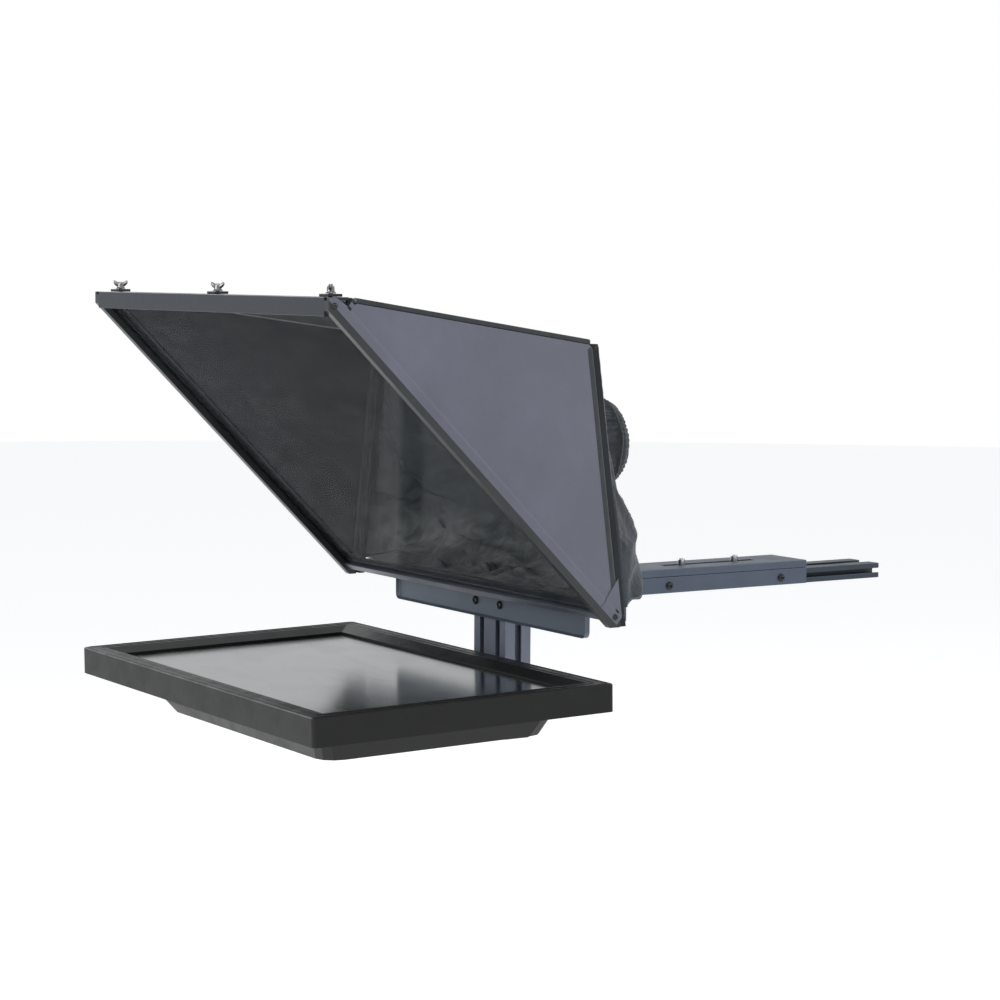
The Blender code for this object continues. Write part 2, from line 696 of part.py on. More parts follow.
def make_shroud():
    """A cloth tube from the rear hoop to a round sleeve, with an elastic cord round the sleeve."""
    outside = [shroud_ring(y, 0.0) for y in SHROUD_STATIONS]
    inside = [shroud_ring(y, SHROUD_WALL) for y in reversed(SHROUD_STATIONS)]
    bm = bmesh.new()
    closed_sleeve(bm, outside + inside)
    finish("lens_shroud", bm, shroud_cloth(), smooth=50)
    cord = 0.0016
    ring_radius = SLEEVE_RADIUS + cord + GAP
    loops = []
    for i in range(36):
        turn = math.tau * i / 36
        out = Vector((math.cos(turn), 0.0, math.sin(turn)))
        centre = hood_point(0.0, SLEEVE_END - 0.006, LENS_HEIGHT) + out * ring_radius
        loops.append([centre + out * cord * math.cos(roll) + Vector((0, cord * math.sin(roll), 0))
                      for roll in (math.tau * j / 6 for j in range(6))])
    bm = bmesh.new()
    closed_sleeve(bm, loops)
    finish("neck_elastic", bm, nylon(), smooth=60)


# The camera carriage.

def make_carriage():
    """A slotted plate on nylon glides, with a cheek each side whose tongue runs in the rail's slot."""
    inner = RAIL_HALF + 0.0006
    outer = inner + CHEEK_THICKNESS
    glide_top = RAIL_HEIGHT + GAP + 0.001
    plate_low = glide_top + GAP
    plate_high = plate_low + CARRIAGE_PLATE
    bm = bmesh.new()
    box(bm, (-outer, CARRIAGE_FRONT, plate_low), (outer, CARRIAGE_REAR, plate_high))
    plate = finish("carriage_plate", bm, anodised(), bevel=0.0006)
    slot = bmesh.new()
    box(slot, (-0.005, CAMERA_SLOT[0], plate_low - 0.001), (0.005, CAMERA_SLOT[1], plate_high + 0.001))
    cut(plate, slot)

    bm, window = bmesh.new(), bmesh.new()
    box(bm, (-0.0235, CARRIAGE_FRONT + 0.004, RAIL_HEIGHT + GAP), (0.0235, CARRIAGE_REAR - 0.004, glide_top))
    box(window, (-0.0120, CAMERA_SLOT[0], RAIL_HEIGHT - 0.001), (0.0120, CAMERA_SLOT[1], glide_top + 0.001))
    cut(finish("carriage_glide_liner", bm, nylon()), window)

    tongue = inner - 0.0026
    for side, where in ((-1, "left"), (1, "right")):
        outline = [(inner, glide_top), (inner, SIDE_SLOT_Z + 0.0021), (tongue, SIDE_SLOT_Z + 0.0021),
                   (tongue, SIDE_SLOT_Z - 0.0021), (inner, SIDE_SLOT_Z - 0.0021), (inner, 0.0004),
                   (outer, 0.0004), (outer, glide_top)]
        bm = bmesh.new()
        prism_y(bm, [(side * x, z) for x, z in outline], CARRIAGE_FRONT, CARRIAGE_REAR)
        cheek = finish(f"carriage_{where}_cheek", bm, anodised(), bevel=0.0003)
        holes = bmesh.new()
        places = CHEEK_SCREW_Y if side > 0 else CHEEK_SCREW_Y + (LOCK_KNOB_Y,)
        for y in places:
            rod(holes, (side * (outer + 0.001), y, SIDE_SLOT_Z),
                (side * (tongue - 0.001), y, SIDE_SLOT_Z), 0.0014, 10)
        cut(cheek, holes)
        for y, end in zip(CHEEK_SCREW_Y, ("front", "rear")):
            make_screw(f"cheek_screw_{where}_{end}", (side * outer, y, SIDE_SLOT_Z), (-side, 0, 0),
                       head=0.0042, shank=0.0011, length=0.0066)

    profile = [(0.0, 0.0068), (0.0040, 0.0068), (0.0040, 0.0040), (0.0200, 0.0040), (0.0210, 0.0032)]
    for y, end in ((CAMERA_SLOT[0] + 0.025, "front"), (CAMERA_SLOT[1] - 0.025, "rear")):
        screw = bmesh.new()
        turned(screw, (0.0, y, RAIL_HEIGHT - 0.0050), (0, 0, 1), profile, 18)
        finish("camera_screw_" + end, screw, bright_steel(), smooth=35)

    base = (-outer - GAP, LOCK_KNOB_Y, SIDE_SLOT_Z)
    knob = bmesh.new()
    profile = [(-0.0050, 0.0011), (0.0, 0.0011), (0.0, 0.0036), (0.0036, 0.0040), (0.0042, 0.0068),
               (0.0125, 0.0074), (0.0140, 0.0062)]
    turned(knob, base, (-1, 0, 0), profile, 16)
    finish("carriage_lock_knob", knob, black_plastic(), origin=base, smooth=35)


# The slide and the arm.

def make_slide():
    """The clamp that rides on the column, and its locking knob."""
    face, inner = COLUMN_FRONT - GAP, COLUMN_WIDTH / 2 + 0.0004
    outer, rear = inner + SLIDE_CHEEK, face + 0.022
    outline = [(-outer, SLIDE_FRONT), (outer, SLIDE_FRONT), (outer, rear), (inner, rear), (inner, face),
               (-inner, face), (-inner, rear), (-outer, rear)]
    bm = bmesh.new()
    prism_z(bm, outline, SLIDE_LOW, SLIDE_HIGH)
    clamp = finish("slide_clamp", bm, anodised(), bevel=0.0006)
    knob_y, knob_z = (COLUMN_FRONT + COLUMN_REAR) / 2 - 0.002, (SLIDE_LOW + SLIDE_HIGH) / 2
    hole = bmesh.new()
    rod(hole, (-outer - 0.001, knob_y, knob_z), (-inner + 0.001, knob_y, knob_z), 0.0033)
    cut(clamp, hole)
    base = (-outer - GAP, knob_y, knob_z)
    knob = bmesh.new()
    profile = [(-0.0063, 0.0026), (-0.0055, 0.0030), (0.0, 0.0030), (0.0, 0.0070), (0.0050, 0.0075),
               (0.0055, 0.0150), (0.0170, 0.0160), (0.0190, 0.0135)]
    turned(knob, base, (-1, 0, 0), profile, 20)
    finish("height_lock_knob", knob, black_plastic(), origin=base, smooth=35)


def make_arm():
    """The arm under the monitor, bolted to the slide and rounded where the tilt pin crosses it."""
    root, nose = SLIDE_FRONT - GAP, 0.0095
    outline = [(root, ARM_BOTTOM), (root, ARM_TOP), (TILT_Y + 0.030, ARM_TOP)]
    for step in range(9):
        turn = math.radians(80 + 25 * step)
        outline.append((TILT_Y + nose * math.cos(turn), TILT_Z + nose * math.sin(turn)))
    outline.append((TILT_Y + 0.020, ARM_BOTTOM))
    bm = bmesh.new()
    prism_x(bm, outline, -ARM_HALF, ARM_HALF)
    arm = finish("monitor_arm", bm, anodised(), bevel=0.0005)
    hole = bmesh.new()
    rod(hole, (-ARM_HALF - 0.001, TILT_Y, TILT_Z), (ARM_HALF + 0.001, TILT_Y, TILT_Z), TILT_PIN + GAP, 20)
    cut(arm, hole)


def make_tilt_pin():
    """The pin through the arm and one ear, and the knob whose stud passes the other ear to the arm."""
    axis = (0.0, TILT_Y, TILT_Z)
    head = EAR_OUTER + GAP
    pin = bmesh.new()
    profile = [(-0.0195, TILT_PIN), (head, TILT_PIN), (head, 0.007), (head + 0.003, 0.006)]
    turned(pin, axis, (-1, 0, 0), profile, 20)
    finish("tilt_hinge_pin", pin, bright_steel(), smooth=35)
    knob = bmesh.new()
    profile = [(0.0205, TILT_PIN), (head, TILT_PIN), (head, 0.0070), (head + 0.003, 0.0075),
               (head + 0.0035, 0.0110), (head + 0.0135, 0.0115), (head + 0.0150, 0.0095)]
    turned(knob, axis, (1, 0, 0), profile, 20)
    finish("tilt_lock_knob", knob, black_plastic(), origin=axis, smooth=35)


# The monitor, in the frame of its tilt axis.

def monitor_frame():
    pivot = bpy.data.objects.new("monitor_tilt_axis", None)
    pivot.location = (0.0, TILT_Y, TILT_Z)
    pivot.rotation_euler = (REST_TILT, 0.0, 0.0)
    bpy.context.scene.collection.objects.link(pivot)
    return pivot


def bezel_loop(inset, z, radius):
    outline = rounded_rectangle((inset - MONITOR_HALF, MONITOR_FRONT + inset),
                                (MONITOR_HALF - inset, MONITOR_BACK - inset), radius)
    return [(x, y, z) for x, y in outline]


def make_bezel(pivot):
    """The moulded surround: a flat rim, a slope down to the screen, and walls round an open back."""
    lip = BEZEL_TOP - SCREEN_RECESS
    loops = [bezel_loop(0.0, BEZEL_BOTTOM, 0.004), bezel_loop(0.0, BEZEL_TOP - 0.001, 0.004),
             bezel_loop(0.001, BEZEL_TOP, 0.0035), bezel_loop(BEZEL_RIM, BEZEL_TOP, 0.001),
             bezel_loop(SCREEN_INSET, lip, 0.001), bezel_loop(SCREEN_INSET, LCD_TOP + GAP, 0.001),
             bezel_loop(BEZEL_WALL, LCD_TOP + GAP, 0.002), bezel_loop(BEZEL_WALL, BEZEL_BOTTOM, 0.002)]
    bm = bmesh.new()
    closed_sleeve(bm, loops)
    bezel = finish("monitor_bezel", bm, black_plastic(), parent=pivot)
    holes = bmesh.new()
    for y in BUTTON_Y:
        rod(holes, (-MONITOR_HALF - 0.001, y, BUTTON_Z),
            (BEZEL_WALL + 0.001 - MONITOR_HALF, y, BUTTON_Z), 0.0028)
    cut(bezel, holes)
    panel = bmesh.new()
    loft(panel, [bezel_loop(BEZEL_WALL + 0.0005, z, 0.002) for z in (LCD_BOTTOM, LCD_TOP)])
    finish("lcd_panel", panel, screen_glass(), parent=pivot)


def make_buttons(pivot):
    """Four menu buttons in the left wall, held in by a flange behind it."""
    profile = [(0.0, 0.0020), (0.0005, 0.0025), (0.0050, 0.0025), (0.0050, 0.0033), (0.0058, 0.0033)]
    for number, y in enumerate(BUTTON_Y, start=1):
        base = (-MONITOR_HALF - 0.0012, y, BUTTON_Z)
        bm = bmesh.new()
        turned(bm, base, (1, 0, 0), profile, 14)
        finish(f"monitor_button_{number}", bm, nylon(), origin=base, smooth=35, parent=pivot)


def hump_loop(low, high, z, radius):
    return [(x, y, z) for x, y in rounded_rectangle(low, high, radius)]


def make_rear_cover(pivot):
    """The back plate inside the bezel, with a hollow hump under it for the electronics."""
    inset = BEZEL_WALL + 0.0005
    floor, plate_top = HUMP_BOTTOM + 0.0034, BEZEL_BOTTOM + 0.0028
    loops = [hump_loop((-0.105, -0.1305), (0.220, 0.104), HUMP_BOTTOM, 0.020),
             hump_loop((-0.135, -0.1390), (0.230, 0.112), BEZEL_BOTTOM, 0.018),
             bezel_loop(inset, BEZEL_BOTTOM, 0.002), bezel_loop(inset, plate_top, 0.002),
             hump_loop((-0.122, -0.1300), (0.221, 0.098), plate_top, 0.014),
             hump_loop((-0.098, -0.1240), (0.214, 0.096), floor, 0.016)]
    bm = bmesh.new()
    loft(bm, loops)
    cover = finish("monitor_rear_cover", bm, black_plastic(), parent=pivot)
    pocket = bmesh.new()
    box(pocket, (0.060, 0.1012, 0.0205), (0.150, 0.120, 0.0300))
    cut(cover, pocket)
    plate = bmesh.new()
    box(plate, (0.0603, 0.1015, 0.0208), (0.1497, 0.1032, 0.0297))
    panel = finish("connector_panel", plate, dark_steel(), parent=pivot)
    barrels = bmesh.new()
    for x, radius in ((0.072, 0.0042), (0.090, 0.0042), (0.108, 0.0042), (0.136, 0.0038)):
        rod(barrels, (x, 0.1025, 0.02525), (x, 0.1110, 0.02525), radius, 12)
    weld(panel, barrels)
    bm = bmesh.new()
    box(bm, (-0.060, -0.095, 0.0262), (0.180, 0.080, 0.0278))
    board = finish("monitor_board", bm, circuit_board(), parent=pivot)
    mounted = bmesh.new()
    for x in (-0.050, 0.170):
        for y in (-0.085, 0.070):
            rod(mounted, (x, y, floor + GAP), (x, y, 0.0270), 0.0030, 10)
    for low, high in (((0.000, -0.030), (0.040, 0.010)), ((0.100, -0.070), (0.160, -0.020))):
        box(mounted, (*low, 0.0270), (*high, 0.0325))
    weld(board, mounted)


def make_tilt_bracket(pivot):
    """The plate under the monitor with the two ears that turn on the tilt pin."""
    high = HUMP_BOTTOM - GAP
    bm = bmesh.new()
    corners = (-VESA_HALF, -VESA_HALF), (VESA_HALF, VESA_HALF)
    loft(bm, [hump_loop(*corners, z, 0.006) for z in (VESA_LOW, high)])
    bracket = finish("tilt_bracket", bm, anodised(), parent=pivot)
    ears = bmesh.new()
    outline = [(-0.024, VESA_LOW + 0.001), (-0.010, -0.002)]
    outline += [(0.010 * math.cos(turn), 0.010 * math.sin(turn)) for turn in
                (math.radians(190 + 20 * step) for step in range(9))]
    outline += [(0.010, -0.002), (0.024, VESA_LOW + 0.001)]
    for side in (-1, 1):
        x0, x1 = sorted((side * EAR_INNER, side * EAR_OUTER))
        prism_x(ears, outline, x0, x1)
    weld(bracket, ears)
    hole = bmesh.new()
    rod(hole, (-0.030, 0.0, 0.0), (0.030, 0.0, 0.0), TILT_PIN + GAP, 20)
    cut(bracket, hole)


def main():
    clear_scene()
    make_rail()
    make_column()
    make_rail_bracket()
    make_crossbar()
    make_base_bar()
    make_frame_side(-1, "frame_left_bar")
    make_frame_side(1, "frame_right_bar")
    make_top_bar()
    make_corner_screws()
    make_glass()
    make_clips_and_thumbscrews()
    make_hinges()
    make_side_panel(-1, "hood_left_panel")
    make_side_panel(1, "hood_right_panel")
    make_top_flap()
    make_hoop()
    make_shroud()
    make_carriage()
    make_slide()
    make_arm()
    make_tilt_pin()
    pivot = monitor_frame()
    make_bezel(pivot)
    make_buttons(pivot)
    make_rear_cover(pivot)
    make_tilt_bracket(pivot)


main()
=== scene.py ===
"""Looks of the studio teleprompter: boards, cloth, fasteners, knobs and finishes on the CAD frame."""
from math import asin, cos, hypot, pi, radians, sin, sqrt, tan, tau

import bmesh
import bpy
from mathutils import Matrix, Vector, noise


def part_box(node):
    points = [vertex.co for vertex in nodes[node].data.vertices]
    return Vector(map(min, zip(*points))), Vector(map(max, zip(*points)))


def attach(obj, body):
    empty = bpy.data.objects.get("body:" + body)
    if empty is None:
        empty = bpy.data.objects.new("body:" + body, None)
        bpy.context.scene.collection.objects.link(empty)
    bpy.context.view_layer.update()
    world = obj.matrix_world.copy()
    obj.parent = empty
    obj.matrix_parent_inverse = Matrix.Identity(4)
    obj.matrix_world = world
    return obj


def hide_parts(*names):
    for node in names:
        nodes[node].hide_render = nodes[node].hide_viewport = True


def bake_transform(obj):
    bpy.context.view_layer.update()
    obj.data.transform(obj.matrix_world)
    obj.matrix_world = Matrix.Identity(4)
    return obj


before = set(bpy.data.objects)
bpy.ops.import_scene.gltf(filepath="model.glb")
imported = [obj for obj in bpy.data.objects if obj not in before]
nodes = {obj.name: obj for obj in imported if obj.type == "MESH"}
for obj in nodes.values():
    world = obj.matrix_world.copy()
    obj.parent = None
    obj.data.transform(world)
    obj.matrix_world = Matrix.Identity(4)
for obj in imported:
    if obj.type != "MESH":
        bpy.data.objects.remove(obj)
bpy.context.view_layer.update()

# The hood's datum and side planes, as in the CAD.
HOOD_Y = -0.110
HOOD_Z = 0.0055
HOOD_RISE = 0.306
BACK_TOP = 0.2655
BOTTOM_HALF = 0.253
FRONT_HALF = 0.248
BACK_HALF = 0.20175
PANEL = 0.0024
ROOF = 0.0042
PER_Z = (BACK_HALF - BOTTOM_HALF) / BACK_TOP
PER_Y = (BOTTOM_HALF - FRONT_HALF + PER_Z * HOOD_RISE) / HOOD_RISE
TOP_BAR_DEPTH = 0.025

# Where the photographer stood.
EYE = Vector((2.2377, -1.4983, 0.3358))
LOOK = Vector((-0.84197, 0.53240, -0.08734)).normalized()
ROLL = radians(0.3625)
LENS = 94.42

FLOOR_Z = -0.75


def side_x(y, z):
    return BOTTOM_HALF + PER_Y * y + PER_Z * z


def roof_top(y):
    return BACK_TOP + (HOOD_RISE - BACK_TOP) * y / (TOP_BAR_DEPTH - HOOD_RISE)


def hood(x, y, z):
    return Vector((x, y + HOOD_Y, z + HOOD_Z))


def on_slope(s, n):
    """Hood Y and Z of a point s up the glass's slope and n behind the glass plane."""
    return (n - s) * sqrt(0.5), (n + s) * sqrt(0.5)


def add_object(name, data):
    made = bpy.data.objects.new(name, data)
    bpy.context.scene.collection.objects.link(made)
    return made


# Camera, light and floor.

def make_camera():
    data = bpy.data.cameras.new("camera")
    data.lens = LENS
    data.sensor_width = 36
    data.clip_end = 60
    camera = add_object("camera", data)
    right = LOOK.cross(Vector((0, 0, 1))).normalized()
    up = right.cross(LOOK)
    right, up = (right * cos(ROLL) + up * sin(ROLL),
                 up * cos(ROLL) - right * sin(ROLL))
    camera.matrix_world = Matrix((
        (right.x, up.x, -LOOK.x, EYE.x),
        (right.y, up.y, -LOOK.y, EYE.y),
        (right.z, up.z, -LOOK.z, EYE.z),
        (0, 0, 0, 1)))
    bpy.context.scene.camera = camera


def area_light(name, place, target, size, power, colour):
    data = bpy.data.lights.new(name, "AREA")
    data.shape = "DISK"
    data.size = size
    data.energy = power
    data.color = colour
    light = add_object(name, data)
    light.location = place
    light.rotation_euler = (Vector(target) - Vector(place)).to_track_quat("-Z", "Y").to_euler()


def make_studio():
    scene = bpy.context.scene
    scene.view_settings.view_transform = "Standard"
    world = bpy.data.worlds.new("studio")
    scene.world = world
    world.use_nodes = True
    world.node_tree.nodes.clear()
    # The camera sees plain white; the object is lit by a slightly cooler, dimmer sky.
    sky = Nodes(world.node_tree)
    seen = sky.node("Background", Color=(1, 1, 1), Strength=1.0)
    lit = sky.node("Background", Color=(0.97, 0.985, 1.0), Strength=0.70)
    path = sky.node("LightPath")
    mix = sky.node("MixShader")
    sky.put(mix.inputs[0], path.outputs["Is Camera Ray"])
    sky.put(mix.inputs[1], lit.outputs[0])
    sky.put(mix.inputs[2], seen.outputs[0])
    sky.node("OutputWorld", Surface=mix.outputs[0])
    white, warm, cool = (1, 1, 1), (1.0, 0.985, 0.96), (0.96, 0.98, 1.0)
    area_light("key", (2.4, -1.2, 2.8), (0, -0.1, 0.1), 1.6, 34, warm)
    area_light("front", (0.4, -3.2, 1.0), (0, -0.2, 0.0), 1.8, 44, white)
    area_light("back", (1.0, 2.8, 2.2), (0, 0.0, 0.1), 1.6, 22, cool)
    area_light("left", (-2.8, -0.4, 1.6), (0, -0.1, 0.1), 1.6, 26, white)
    bm = bmesh.new()
    bmesh.ops.create_circle(bm, cap_ends=True, radius=14.0, segments=96)
    bmesh.ops.translate(bm, verts=bm.verts[:], vec=(0, 0, FLOOR_Z))
    mesh = bpy.data.meshes.new("floor")
    bm.to_mesh(mesh)
    bm.free()
    floor = add_object("floor", mesh)
    p = Paint("floor_paper")
    p.set(p.ramp(p.noise(60, 3), (0.93, 0.93, 0.93), (0.95, 0.95, 0.95)), 0.9)
    p.put(p.shader.inputs["Emission Color"], (1, 1, 1))
    p.put(p.shader.inputs["Emission Strength"], 0.29)
    mesh.materials.append(p.material)


# Procedural materials.

class Nodes:
    def __init__(self, tree):
        self.tree = tree

    def put(self, socket, value):
        """Link or set a socket."""
        if isinstance(value, bpy.types.NodeSocket):
            self.tree.links.new(value, socket)
        elif isinstance(value, tuple) and socket.type == "RGBA":
            socket.default_value = (*value, 1.0)
        else:
            socket.default_value = value

    def node(self, kind, **inputs):
        made = self.tree.nodes.new("ShaderNode" + kind)
        for name, value in inputs.items():
            self.put(made.inputs[name.replace("_", " ")], value)
        return made


class Paint(Nodes):
    """A node material built from small pieces: noise, ramps, mixes and bumps."""

    def __init__(self, name):
        self.material = bpy.data.materials.new(name)
        self.material.use_nodes = True
        super().__init__(self.material.node_tree)
        self.shader = self.tree.nodes["Principled BSDF"]
        self.coords = self.tree.nodes.new("ShaderNodeTexCoord").outputs["Object"]
        self.bumped = None

    def stretch(self, scale, turn=(0, 0, 0)):
        return self.node("Mapping", Vector=self.coords, Scale=scale, Rotation=turn).outputs["Vector"]

    def noise(self, scale, detail=2, rough=0.5, distortion=0.0, coords=None):
        return self.node("TexNoise", Vector=coords or self.coords, Scale=scale, Detail=detail,
                         Roughness=rough, Distortion=distortion).outputs["Fac"]

    def cells(self, scale):
        return self.node("TexVoronoi", Vector=self.coords, Scale=scale).outputs["Distance"]

    def wave(self, scale, axis, distortion=0.0):
        node = self.node("TexWave", Vector=self.coords, Scale=scale, Distortion=distortion, Detail=1.0)
        node.bands_direction = axis
        return node.outputs["Fac"]

    def ramp(self, value, low, high, start=0.35, end=0.65):
        """From low to high, numbers or colours, as the value goes from start to end."""
        node = self.node("MapRange", Value=value, From_Min=start, From_Max=end)
        if isinstance(low, tuple):
            return self.mix(node.outputs["Result"], low, high)
        self.put(node.inputs["To Min"], low)
        self.put(node.inputs["To Max"], high)
        return node.outputs["Result"]

    def shades(self, value, colour, low, high, start=0.3, end=0.7):
        return self.ramp(value, shade(colour, low), shade(colour, high), start, end)

    def mix(self, amount, first, second):
        node = self.node("Mix")
        node.data_type = "RGBA"
        self.put(node.inputs["Factor"], amount)
        self.put(node.inputs["A"], first)
        self.put(node.inputs["B"], second)
        return node.outputs["Result"]

    def maths(self, how, first, second):
        node = self.node("Math")
        node.operation = how
        self.put(node.inputs[0], first)
        self.put(node.inputs[1], second)
        return node.outputs[0]

    def weave(self):
        return self.maths("MULTIPLY", self.wave(620, "X", 0.6), self.wave(620, "Z", 0.6))

    def edges(self, radius):
        """About 0 on flat faces, rising to 1 along sharp edges."""
        bevel = self.node("Bevel", Radius=radius)
        bevel.samples = 4
        geometry = self.node("NewGeometry")
        dot = self.node("VectorMath")
        dot.operation = "DOT_PRODUCT"
        self.put(dot.inputs[0], bevel.outputs[0])
        self.put(dot.inputs[1], geometry.outputs["True Normal"])
        return self.ramp(dot.outputs["Value"], 1.0, 0.0, 0.80, 0.995)

    def bump(self, height, depth):
        """Relief of depth metres from a 0 to 1 height."""
        node = self.node("Bump", Strength=1.0, Distance=depth, Height=height)
        if self.bumped:
            self.put(node.inputs["Normal"], self.bumped)
        self.bumped = node.outputs["Normal"]
        self.put(self.shader.inputs["Normal"], self.bumped)

    def set(self, colour, roughness, **rest):
        names = {"specular": "Specular IOR Level", "sheen": "Sheen Weight", "coat": "Coat Weight"}
        self.put(self.shader.inputs["Base Color"], colour)
        self.put(self.shader.inputs["Roughness"], roughness)
        for key, value in rest.items():
            self.put(self.shader.inputs[names.get(key) or key.replace("_", " ").title()], value)
        return self.material


def shade(colour, by):
    return tuple(min(1.0, c * by) for c in colour)


def anodised(name, colour, along, worn):
    """Satin anodised aluminium: drawn grain along the bar, cloudy dye, paler worn edges."""
    p = Paint(name)
    scale = tuple(0.03 if axis == along else 1 for axis in "XYZ")
    drawn = p.noise(2600, 2, 0.6, coords=p.stretch(scale))
    grain = p.noise(5200, 1)
    cloud = p.noise(24, 4, 0.6)
    speck = p.cells(380)
    base = p.shades(cloud, colour, 0.90, 1.10)
    base = p.mix(p.ramp(drawn, 0.0, 0.22), base, shade(colour, 1.35))
    base = p.mix(p.ramp(speck, 0.35, 0.0, 0.0, 0.10), base, shade(colour, 0.6))
    chipped = p.maths("MULTIPLY", p.edges(0.0007), p.ramp(p.noise(260, 3, 0.7), 0.15, 0.9))
    base = p.mix(chipped, base, shade(colour, 1.0 + worn))
    p.bump(grain, 0.000012)
    p.bump(drawn, 0.000006)
    return p.set(base, p.ramp(cloud, 0.36, 0.48), metallic=0.55, specular=0.5)


def moulded(name, colour, rough=0.42, texture=0.000010, gloss=0.5):
    """Injection-moulded plastic: spark-eroded texture, faint rub marks and dust."""
    p = Paint(name)
    spark = p.noise(3200, 2, 0.6)
    rub = p.noise(36, 5, 0.65, 0.4)
    scratch = p.noise(700, 2, 0.7, coords=p.stretch((1, 0.05, 1), (0.3, 0.2, 0.5)))
    base = p.shades(rub, colour, 0.85, 1.2)
    base = p.mix(p.ramp(scratch, 0.0, 0.25, 0.62, 0.72), base, shade(colour, 2.2))
    base = p.mix(p.maths("MULTIPLY", p.edges(0.0006), 0.55), base, shade(colour, 2.4))
    p.bump(spark, texture)
    return p.set(base, p.ramp(rub, rough * 0.85, rough * 1.2), specular=gloss)


def plated(name, colour=(0.62, 0.62, 0.64), dull=1.0):
    """Bright nickel-chrome plate with turning marks, hairlines and dull spots."""
    p = Paint(name)
    turning = p.noise(5200, 2, coords=p.stretch((1, 1, 0.15)))
    spots = p.noise(420, 4, 0.7)
    base = p.ramp(spots, shade(colour, 0.75), colour, 0.35, 0.55)
    base = p.mix(p.maths("MULTIPLY", p.edges(0.0003), 0.6), base, shade(colour, 1.3))
    p.bump(turning, 0.000004)
    return p.set(base, p.ramp(spots, 0.30 * dull, 0.13 * dull, 0.35, 0.6), metallic=1.0)


def oxide_steel():
    """Black-oxided steel, rubbed brighter on its edges."""
    colour = (0.030, 0.030, 0.033)
    p = Paint("black_oxide")
    cloud = p.noise(900, 4, 0.7)
    base = p.shades(cloud, colour, 0.7, 1.5, 0.35, 0.65)
    base = p.mix(p.maths("MULTIPLY", p.edges(0.00035), 0.8), base, (0.30, 0.30, 0.31))
    p.bump(p.noise(6000, 2), 0.000004)
    return p.set(base, p.ramp(cloud, 0.26, 0.40), metallic=0.9)


def laminated_board():
    """Slate laminate on board: fine leatherette grain, cloudy mottling and slight greenish patches."""
    colour = (0.105, 0.110, 0.146)
    p = Paint("board_laminate")
    cloud = p.noise(9, 5, 0.62)
    patch = p.noise(5.0, 3, 0.5, 0.6, coords=p.stretch((1, 1, 1), (0.4, 0.9, 0.1)))
    grain = p.cells(1500)
    fibres = p.noise(2600, 3, 0.7)
    base = p.shades(cloud, colour, 0.80, 1.13)
    base = p.mix(p.ramp(patch, 0.0, 0.55, 0.46, 0.62), base, (0.088, 0.102, 0.116))
    base = p.mix(p.ramp(grain, 0.30, 0.0, 0.0, 0.35), base, shade(colour, 0.78))
    base = p.mix(p.ramp(p.noise(300, 2), 0.0, 0.10, 0.6, 0.7), base, shade(colour, 1.5))
    p.bump(grain, 0.000035)
    p.bump(fibres, 0.000015)
    p.bump(p.noise(14, 2), 0.00035)
    return p.set(base, p.ramp(cloud, 0.58, 0.70), specular=0.35, sheen=0.12, sheen_roughness=0.5)


def flocked():
    """Dark flocked lining: short pile, brushed in slightly different directions."""
    p = Paint("hood_lining")
    pile = p.noise(4200, 3, 0.8)
    nap = p.noise(26, 4, 0.5, 0.8)
    base = p.ramp(nap, (0.0075, 0.0110, 0.0160), (0.0120, 0.0165, 0.0230), 0.35, 0.7)
    base = p.mix(p.ramp(pile, 0.0, 0.12, 0.55, 0.75), base, (0.022, 0.028, 0.036))
    return p.set(base, p.ramp(nap, 0.88, 0.97), specular=0.06, sheen=0.05, sheen_roughness=0.45)


def ribbed_tape(name, colour, across):
    """Grosgrain binding tape: fine ribs across its width and a slightly fuzzy, faded surface."""
    p = Paint(name)
    ribs = p.wave(420, across, 0.4)
    fuzz = p.noise(3600, 3, 0.7)
    fade = p.noise(45, 4, 0.6)
    base = p.shades(fade, colour, 0.78, 1.22)
    base = p.mix(p.ramp(ribs, 0.45, 0.0, 0.0, 0.5), base, shade(colour, 0.55))
    base = p.mix(p.ramp(fuzz, 0.0, 0.3, 0.6, 0.75), base, shade(colour, 1.9))
    p.bump(ribs, 0.00012)
    p.bump(fuzz, 0.00003)
    return p.set(base, 0.82, specular=0.25, sheen=0.25, sheen_roughness=0.4)


def thread(name, colour):
    """Twisted sewing thread."""
    p = Paint(name)
    twist = p.wave(900, "DIAGONAL", 1.0)
    base = p.shades(twist, colour, 0.6, 1.3, 0.2, 0.8)
    p.bump(twist, 0.00004)
    return p.set(base, 0.6, specular=0.3, sheen=0.3)


def proofed_nylon():
    """Blue-black coated nylon: tight plain weave, handling creases and a soft proofed sheen."""
    colour = (0.020, 0.027, 0.037)
    p = Paint("shroud_nylon")
    weave = p.weave()
    crease = p.noise(34, 5, 0.72, 1.2)
    hair = p.noise(140, 4, 0.75, 0.8)
    fade = p.noise(12, 3, 0.5)
    base = p.shades(fade, colour, 0.75, 1.35)
    base = p.mix(p.ramp(hair, 0.0, 0.28, 0.56, 0.70), base, (0.060, 0.070, 0.088))
    base = p.mix(p.ramp(weave, 0.25, 0.0, 0.1, 0.5), base, shade(colour, 0.45))
    p.bump(crease, 0.0022)
    p.bump(hair, 0.00045)
    p.bump(weave, 0.00005)
    return p.set(base, p.ramp(hair, 0.48, 0.62), specular=0.40, sheen=0.15, sheen_roughness=0.35)


